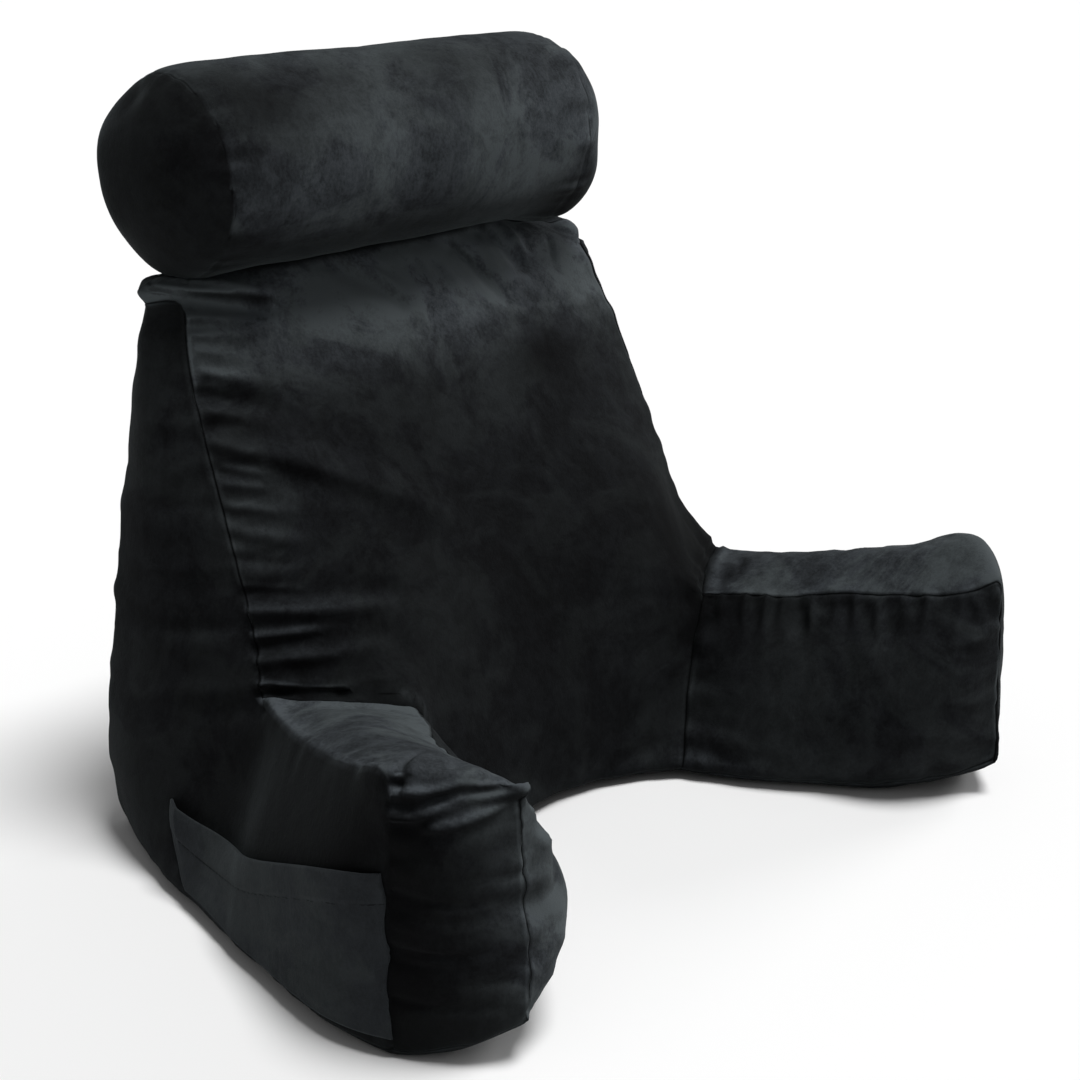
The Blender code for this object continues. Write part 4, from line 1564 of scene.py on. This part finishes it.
# ---- side pocket -------------------------------------------------------------------------------
@dataclass(frozen=True)
class SidePocket:
    """The hemmed patch that is sewn to the outer side panel at -X."""

    front_y: float = -0.228
    rear_y: float = 0.109
    bottom_z: float = 0.018
    mouth_front_z: float = 0.157
    mouth_rear_z: float = 0.083
    mouth_sag: float = 0.028
    rear_slant: float = 0.045
    front_slant: float = -0.004
    hem: float = 0.027
    thickness: float = 2.0 * MM
    columns: int = 200
    levels: int = 60
    bridge_rounds: int = 260
    normal_rounds: int = 8
    length: float = 0.34
    # How far the cloth stands off the panel, from the sewn edges inwards.
    edge_width: float = 9.0 * MM
    fullness: float = 1.2 * MM
    slack: float = 1.0 * MM
    slack_size: float = 55.0 * MM
    # How far the mouth gapes, at the front and more towards the rear.
    gape: float = 1.5 * MM
    rear_gape: float = 5.0 * MM
    gape_depth: float = 0.03
    gape_end: float = 0.04
    # The hem and the stitch line that holds it.
    hem_edge: float = 0.7 * MM
    hem_thickness: float = 1.1 * MM
    rim_height: float = 0.8 * MM
    stitch_offset: float = 1.5 * MM
    stitch_depth: float = 0.9 * MM
    stitch_width: float = 1.6 * MM
    stitch_columns: int = 4
    stitch_shade: float = 1.6
    between_stitches: float = 2.5
    no_seam: float = 0.05
    lay: float = 0.42

    def mouth_z(self, y: np.ndarray) -> np.ndarray:
        """Return the height of the sagging mouth at places along the arm.

        Args:
            y: Places along the arm.

        Returns:
            The heights.
        """
        share = (y - self.front_y) / (self.rear_y - self.front_y)
        straight = self.mouth_front_z + (self.mouth_rear_z - self.mouth_front_z) * share
        return straight - self.mouth_sag * outer_hump(share)

    def flat_grid(self) -> tuple[np.ndarray, np.ndarray, np.ndarray, np.ndarray]:
        """Lay out the sheet as it is seen from its side.

        Returns:
            In rows from the bottom to the mouth, each place's share of the length from the front,
            its y, its z, and how far it lies below the mouth.
        """
        share, rise = np.meshgrid(np.linspace(0.0, 1.0, self.columns),
                                  np.linspace(0.0, 1.0, self.levels), indexing="xy")
        mouth = self.mouth_z(self.front_y + (self.rear_y - self.front_y) * share)
        z = self.bottom_z + (mouth - self.bottom_z) * rise
        front = self.front_y + self.front_slant * (1.0 - rise) ** 4
        rear = self.rear_y - self.rear_slant * (1.0 - rise) ** 2
        return share, front + (rear - front) * share, z, mouth - z

    def laid(self, cover: bpy.types.Object, y: np.ndarray,
             z: np.ndarray) -> tuple[np.ndarray, np.ndarray]:
        """Find where the sheet lies on the cover.

        Args:
            cover: The finished cover.
            y: Places along the arm.
            z: Heights.

        Returns:
            Points on the side panel, which bridge its hollows, and the evened normals there.
        """
        tree = face_tree(cover)
        across = Vector((1.0, 0.0, 0.0))
        points = np.zeros((*y.shape, 3))
        normals = np.zeros_like(points)
        for at in product(range(self.levels), range(self.columns)):
            points[at], normals[at], _, _ = tree.ray_cast(Vector((-1.0, y[at], z[at])), across)
        bridged = points[..., 0].copy()
        for _ in range(self.bridge_rounds):
            bridged[:, 1:-1] = evened(bridged.T).T
        points[..., 0] = np.minimum(points[..., 0], bridged)
        for _ in range(self.normal_rounds):
            normals[1:-1] = evened(normals)
            normals[:, 1:-1] = evened(normals.swapaxes(0, 1)).swapaxes(0, 1)
        return points, normals / np.linalg.norm(normals, axis=2, keepdims=True)

    def closed(self, sheet: np.ndarray) -> bpy.types.Mesh:
        """Close the sheet along its bottom and its two ends.

        Args:
            sheet: Rows of points up the shown side, over the mouth and down the inner side.

        Returns:
            The closed mesh.
        """
        mesh = grid_mesh("pocket", sheet)
        shell = bmesh.new()
        shell.from_mesh(mesh)
        shell.verts.ensure_lookup_table()
        at = np.arange(sheet.shape[0] * self.columns).reshape(-1, self.columns)
        shown, inner = at[:self.levels + 1], at[::-1][:self.levels + 1]
        rings = [np.stack([shown[0, 1:], shown[0, :-1], inner[0, :-1], inner[0, 1:]], axis=1)]
        rings += [np.stack([shown[:-1, end], shown[1:, end], inner[1:, end], inner[:-1, end]],
                           axis=1) for end in (0, -1)]
        for corners in np.concatenate(rings).tolist():
            shell.faces.new([shell.verts[index] for index in dict.fromkeys(corners)])
        bmesh.ops.recalc_face_normals(shell, faces=shell.faces[:])
        shell.to_mesh(mesh)
        shell.free()
        return mesh

    def build(self, cover: bpy.types.Object) -> bpy.types.Object:
        """Return the pocket, laid on the cover's side panel.

        Args:
            cover: The finished cover.

        Returns:
            The pocket as an object.
        """
        share, y, z, below_mouth = self.flat_grid()
        points, normals = self.laid(cover, y, z)
        from_ends = np.minimum(share, 1.0 - share)
        edge = np.minimum(from_ends * self.length, z - self.bottom_z)
        inside = 1.0 - np.exp(-(edge / self.edge_width) ** 2)
        gape = self.gape + self.rear_gape * share ** 3
        gape *= np.exp(-(below_mouth / self.gape_depth) ** 2)
        gape *= np.clip(from_ends / self.gape_end, 0.0, 1.0)
        slack = self.slack * soft_noise(points.reshape(-1, 3), self.slack_size, 4.0)
        under = SEAT_GAP + inside * (self.fullness + slack.reshape(y.shape)) + gape
        in_hem = 1.0 / (1.0 + np.exp((below_mouth - self.hem) / self.hem_edge))
        stitch_gap = np.abs(below_mouth - self.hem + self.stitch_offset)
        thick = self.thickness + self.hem_thickness * in_hem
        thick -= self.stitch_depth * np.exp(-(stitch_gap / self.stitch_width) ** 2)
        inner = points + normals * under[..., None]
        outer = points + normals * (under + thick)[..., None]
        rim = 0.5 * (inner[-1] + outer[-1]) + np.array([0.0, 0.0, self.rim_height])
        mesh = self.closed(np.concatenate([outer, rim[None], inner[::-1]]))
        between = np.arange(self.columns) % self.stitch_columns == self.stitch_columns - 1
        seam_gap = np.full(len(mesh.vertices), self.no_seam)
        shades = self.stitch_shade * np.where(between, self.between_stitches, 1.0)
        seam_gap[:y.size] = (stitch_gap * shades).ravel()
        set_attribute(mesh, "pile_lay_and_painted_light", np.full(len(mesh.vertices), self.lay))
        set_attribute(mesh, "seam_gap", seam_gap)
        area = sum(face.area for face in mesh.polygons)
        LOG.info("pocket: %.4f m2 on both sides", area)
        return new_object("pocket", mesh)


# ---- finishes ----------------------------------------------------------------------------------
class PileGroup:
    """The shader node group that every velvet material uses for its pile."""

    NAME = "velvet_pile"
    WIDE_RANGE = (0.44, 0.56)
    SMALL_RANGE = (0.36, 0.64)
    SEAM_RANGE = (0.2 * MM, 1.7 * MM)
    SEAM_SHADE = 0.32
    ROUGHEST, SMOOTHEST = 0.94, 0.80
    GRAIN_HEIGHT, CLUMP_HEIGHT = 0.35 * MM, 0.8 * MM

    def __init__(self) -> None:
        """Build the group once."""
        self.tree = bpy.data.node_groups.new(self.NAME, "ShaderNodeTree")
        face = self.tree.interface
        for name, kind, value in (("Dark", "NodeSocketColor", (0.01, 0.01, 0.01, 1.0)),
                                  ("Light", "NodeSocketColor", (0.03, 0.03, 0.03, 1.0)),
                                  ("Lay", "NodeSocketFloat", 0.5),
                                  ("Seam Gap", "NodeSocketFloat", 0.05),
                                  ("Patchiness", "NodeSocketFloat", 1.0),
                                  ("Relief", "NodeSocketFloat", 1.0)):
            socket = face.new_socket(name, in_out="INPUT", socket_type=kind)
            socket.default_value = value
        for name, kind in (("Color", "NodeSocketColor"), ("Roughness", "NodeSocketFloat"),
                           ("Normal", "NodeSocketVector")):
            face.new_socket(name, in_out="OUTPUT", socket_type=kind)
        self.given = self.tree.nodes.new("NodeGroupInput")
        self.out = self.tree.nodes.new("NodeGroupOutput")
        self.place = self.tree.nodes.new("ShaderNodeTexCoord").outputs["Object"]
        self.wire()

    def noise(self, scale: float, detail: float, roughness: float, distortion: float,
              stretch: Sequence[float] = (1.0, 1.0, 1.0)) -> bpy.types.NodeSocket:
        """Return the output of a noise texture in object space.

        Args:
            scale: Number of features per metre.
            detail: Octaves.
            roughness: Strength of the finer octaves.
            distortion: How much the pattern is warped.
            stretch: Scale along x, y and z.

        Returns:
            The factor, about 0.5 at its middle.
        """
        mapping = self.tree.nodes.new("ShaderNodeMapping")
        mapping.inputs["Scale"].default_value = stretch
        texture = self.tree.nodes.new("ShaderNodeTexNoise")
        texture.inputs["Scale"].default_value = scale
        texture.inputs["Detail"].default_value = detail
        texture.inputs["Roughness"].default_value = roughness
        texture.inputs["Distortion"].default_value = distortion
        self.tree.links.new(self.place, mapping.inputs["Vector"])
        self.tree.links.new(mapping.outputs["Vector"], texture.inputs["Vector"])
        return texture.outputs["Fac"]

    def maths(self, operation: str, *values: object) -> bpy.types.NodeSocket:
        """Return the output of a math node on sockets or numbers.

        Args:
            operation: The node's operation.
            values: Sockets or numbers, in order.

        Returns:
            The result.
        """
        node = self.tree.nodes.new("ShaderNodeMath")
        node.operation = operation
        for socket, value in zip(node.inputs, values):
            if isinstance(value, bpy.types.NodeSocket):
                self.tree.links.new(value, socket)
            else:
                socket.default_value = value
        return node.outputs["Value"]

    def spread(self, value: bpy.types.NodeSocket, low: float, high: float, out_low: float,
               out_high: float) -> bpy.types.NodeSocket:
        """Return a value eased from one range to another.

        Args:
            value: Socket to read.
            low: Where the first range starts.
            high: Where it ends.
            out_low: Where the second range starts.
            out_high: Where it ends.

        Returns:
            The eased value.
        """
        node = self.tree.nodes.new("ShaderNodeMapRange")
        node.interpolation_type = "SMOOTHSTEP"
        for name, number in (("From Min", low), ("From Max", high), ("To Min", out_low),
                             ("To Max", out_high)):
            node.inputs[name].default_value = number
        self.tree.links.new(value, node.inputs["Value"])
        return node.outputs["Result"]

    def wire(self) -> None:
        """Join the pile's patches, streaks, seams and relief to the outputs."""
        nodes, links = self.tree.nodes, self.tree.links
        wide = self.noise(8.0, 9.0, 0.68, 0.9)
        patches = self.spread(wide, *self.WIDE_RANGE, -0.17, 0.14)
        clouds = self.spread(self.noise(30.0, 7.0, 0.70, 0.6), 0.40, 0.60, -0.10, 0.10)
        streaks = self.spread(self.noise(110.0, 5.0, 0.65, 0.4, (1.0, 1.0, 0.6)),
                              *self.SMALL_RANGE, -0.06, 0.06)
        mottle = self.spread(self.noise(380.0, 3.0, 0.6, 0.0, (1.0, 1.0, 0.7)),
                             *self.SMALL_RANGE, -0.06, 0.06)
        grain = self.noise(1500.0, 2.0, 0.5, 0.0)
        small = self.maths("ADD", self.maths("ADD", clouds, streaks), mottle)
        marks = self.maths("ADD", patches, small)
        marks = self.maths("MULTIPLY", marks, self.given.outputs["Patchiness"])
        share = self.maths("ADD", self.maths("ADD", marks, 1.0),
                           self.spread(grain, 0.3, 0.7, -0.08, 0.08))
        share = self.maths("MULTIPLY", share, self.given.outputs["Lay"])
        share = self.maths("ADD", share, self.maths("MULTIPLY", marks, 0.05))
        share = self.maths("MULTIPLY", share, 0.8)
        shade = self.spread(self.given.outputs["Seam Gap"], *self.SEAM_RANGE, self.SEAM_SHADE,
                            1.0)
        clamp = nodes.new("ShaderNodeClamp")
        links.new(share, clamp.inputs["Value"])
        mix = nodes.new("ShaderNodeMix")
        mix.data_type = "RGBA"
        links.new(clamp.outputs["Result"], mix.inputs["Factor"])
        links.new(self.given.outputs["Dark"], mix.inputs[6])
        links.new(self.given.outputs["Light"], mix.inputs[7])
        deepen = nodes.new("ShaderNodeMix")
        deepen.data_type = "RGBA"
        deepen.blend_type = "MULTIPLY"
        deepen.inputs["Factor"].default_value = 1.0
        combine = nodes.new("ShaderNodeCombineColor")
        for channel, cool in (("Red", 1.0), ("Green", 0.985), ("Blue", 1.04)):
            tint = self.spread(wide, *self.WIDE_RANGE, cool, 1.0)
            links.new(self.maths("MULTIPLY", shade, tint), combine.inputs[channel])
        links.new(mix.outputs[2], deepen.inputs[6])
        links.new(combine.outputs["Color"], deepen.inputs[7])
        links.new(deepen.outputs[2], self.out.inputs["Color"])
        links.new(self.spread(clamp.outputs["Result"], 0.0, 1.0, self.ROUGHEST, self.SMOOTHEST),
                  self.out.inputs["Roughness"])
        height = self.maths("MULTIPLY", grain, self.GRAIN_HEIGHT)
        height = self.maths("ADD", height, self.maths("MULTIPLY", small, self.CLUMP_HEIGHT))
        bump = nodes.new("ShaderNodeBump")
        bump.inputs["Distance"].default_value = 1.0
        links.new(self.given.outputs["Relief"], bump.inputs["Strength"])
        links.new(height, bump.inputs["Height"])
        links.new(bump.outputs["Normal"], self.out.inputs["Normal"])


@dataclass(frozen=True)
class VelvetFinish:
    """Short-pile velvet in one colour and lie."""

    name: str
    dark: Colour
    light: Colour
    patchiness: float
    sheen: float
    relief: float = 0.6
    sheen_roughness: float = 0.35
    sheen_tint: Colour = (0.75, 0.88, 0.92)
    specular: float = 0.04

    def material(self, pile: PileGroup) -> bpy.types.Material:
        """Return the finish as a material.

        Args:
            pile: The shared node group.

        Returns:
            The material.
        """
        material = bpy.data.materials.new(self.name)
        material.use_nodes = True
        nodes, links = material.node_tree.nodes, material.node_tree.links
        shader = nodes["Principled BSDF"]
        shader.inputs["Metallic"].default_value = 0.0
        shader.inputs["Specular IOR Level"].default_value = self.specular
        shader.inputs["Sheen Weight"].default_value = self.sheen
        shader.inputs["Sheen Roughness"].default_value = self.sheen_roughness
        shader.inputs["Sheen Tint"].default_value = (*self.sheen_tint, 1.0)
        group = nodes.new("ShaderNodeGroup")
        group.node_tree = pile.tree
        group.inputs["Dark"].default_value = (*self.dark, 1.0)
        group.inputs["Light"].default_value = (*self.light, 1.0)
        group.inputs["Patchiness"].default_value = self.patchiness
        group.inputs["Relief"].default_value = self.relief
        # The lay attribute carries painted light and shade as well as the pile's lie.
        for name, socket in (("pile_lay_and_painted_light", "Lay"), ("seam_gap", "Seam Gap")):
            layer = nodes.new("ShaderNodeAttribute")
            layer.attribute_name = name
            links.new(layer.outputs["Fac"], group.inputs[socket])
        links.new(group.outputs["Color"], shader.inputs["Base Color"])
        links.new(group.outputs["Roughness"], shader.inputs["Roughness"])
        links.new(group.outputs["Normal"], shader.inputs["Normal"])
        return material


# ---- studio ------------------------------------------------------------------------------------
@dataclass(frozen=True)
class SoftSun:
    """A broad far light: where it comes from, its strength and how wide it looks."""

    name: str
    azimuth: float
    elevation: float
    strength: float
    spread: float
    colour: Colour = (1.0, 1.0, 1.0)

    def build(self) -> bpy.types.Object:
        """Return the light. Azimuth 0 is in front of the pillow and 90 is at its +X side.

        Returns:
            The light as an object.
        """
        lamp = bpy.data.lights.new(self.name, "SUN")
        lamp.energy = self.strength
        lamp.angle = math.radians(self.spread)
        lamp.color = self.colour
        item = bpy.data.objects.new(self.name, lamp)
        item.rotation_euler = (math.radians(90.0 - self.elevation), 0.0,
                               math.radians(self.azimuth))
        bpy.context.scene.collection.objects.link(item)
        return item


@dataclass(frozen=True)
class Studio:
    """The pale floor, the soft light and the camera."""

    floor_size: float = 60.0
    floor_colour: Colour = (0.90, 0.90, 0.90)
    world_strength: float = 0.18
    camera_place: tuple[float, float, float] = (-1.1356, -1.136, 0.799)
    camera_pitch: float = 18.3
    camera_yaw: float = 45.0
    lens: float = 60.0
    sensor: float = 36.0
    lights: tuple[SoftSun, ...] = (
        SoftSun("overhead", 30.0, 75.0, 2.7, 22.0),
        SoftSun("right", 85.0, 20.0, 1.1, 25.0),
    )

    def build(self) -> None:
        """Make the floor, the lights, the world and the camera."""
        scene = bpy.context.scene
        half = self.floor_size / 2.0
        mesh = bpy.data.meshes.new("floor")
        corners = [(-half, -half, 0.0), (half, -half, 0.0), (half, half, 0.0), (-half, half, 0.0)]
        mesh.from_pydata(corners, [], [(0, 1, 2, 3)])
        floor = new_object("floor", mesh)
        pale = bpy.data.materials.new("pale_floor")
        pale.use_nodes = True
        shader = pale.node_tree.nodes["Principled BSDF"]
        shader.inputs["Base Color"].default_value = (*self.floor_colour, 1.0)
        shader.inputs["Roughness"].default_value = 1.0
        shader.inputs["Specular IOR Level"].default_value = 0.0
        mesh.materials.append(pale)
        for light in self.lights:
            light.build()
        world = bpy.data.worlds.new("studio")
        world.use_nodes = True
        background = world.node_tree.nodes["Background"]
        background.inputs["Color"].default_value = (1.0, 1.0, 1.0, 1.0)
        background.inputs["Strength"].default_value = self.world_strength
        scene.world = world
        camera = bpy.data.cameras.new("camera")
        camera.lens = self.lens
        camera.sensor_width = self.sensor
        camera.clip_end = 100.0
        holder = bpy.data.objects.new("camera", camera)
        holder.location = self.camera_place
        holder.rotation_euler = (math.radians(90.0 - self.camera_pitch), 0.0,
                                 -math.radians(self.camera_yaw))
        scene.collection.objects.link(holder)
        scene.camera = holder
        scene.view_settings.view_transform = "Standard"


def main() -> None:
    """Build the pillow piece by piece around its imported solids."""
    logging.basicConfig(level=logging.INFO, format="%(name)s: %(message)s")
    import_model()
    Studio().build()
    pile = PileGroup()
    roll_form = NeckRoll()
    cover = PillowCover(CoverLattice(), roll_form).build()
    pocket = SidePocket().build(cover)
    roll = roll_form.build(cover)
    finishes = (
        (cover, VelvetFinish("velvet_cover", INK, PILE_LIGHT, 1.6, 0.047), "back_with_arms"),
        (roll, VelvetFinish("velvet_roll", INK, PILE_LIGHT, 1.6, 0.078), "neck_roll"),
        (pocket, VelvetFinish("velvet_pocket", INK, PILE_LIGHT, 0.8, 0.080), "side_pocket"),
    )
    for piece, finish, node in finishes:
        piece.data.materials.clear()
        piece.data.materials.append(finish.material(pile))
        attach(piece, "root")
        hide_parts(node)
        LOG.info("%s: %d faces", piece.name, len(piece.data.polygons))


if __name__ == "__main__":
    main()
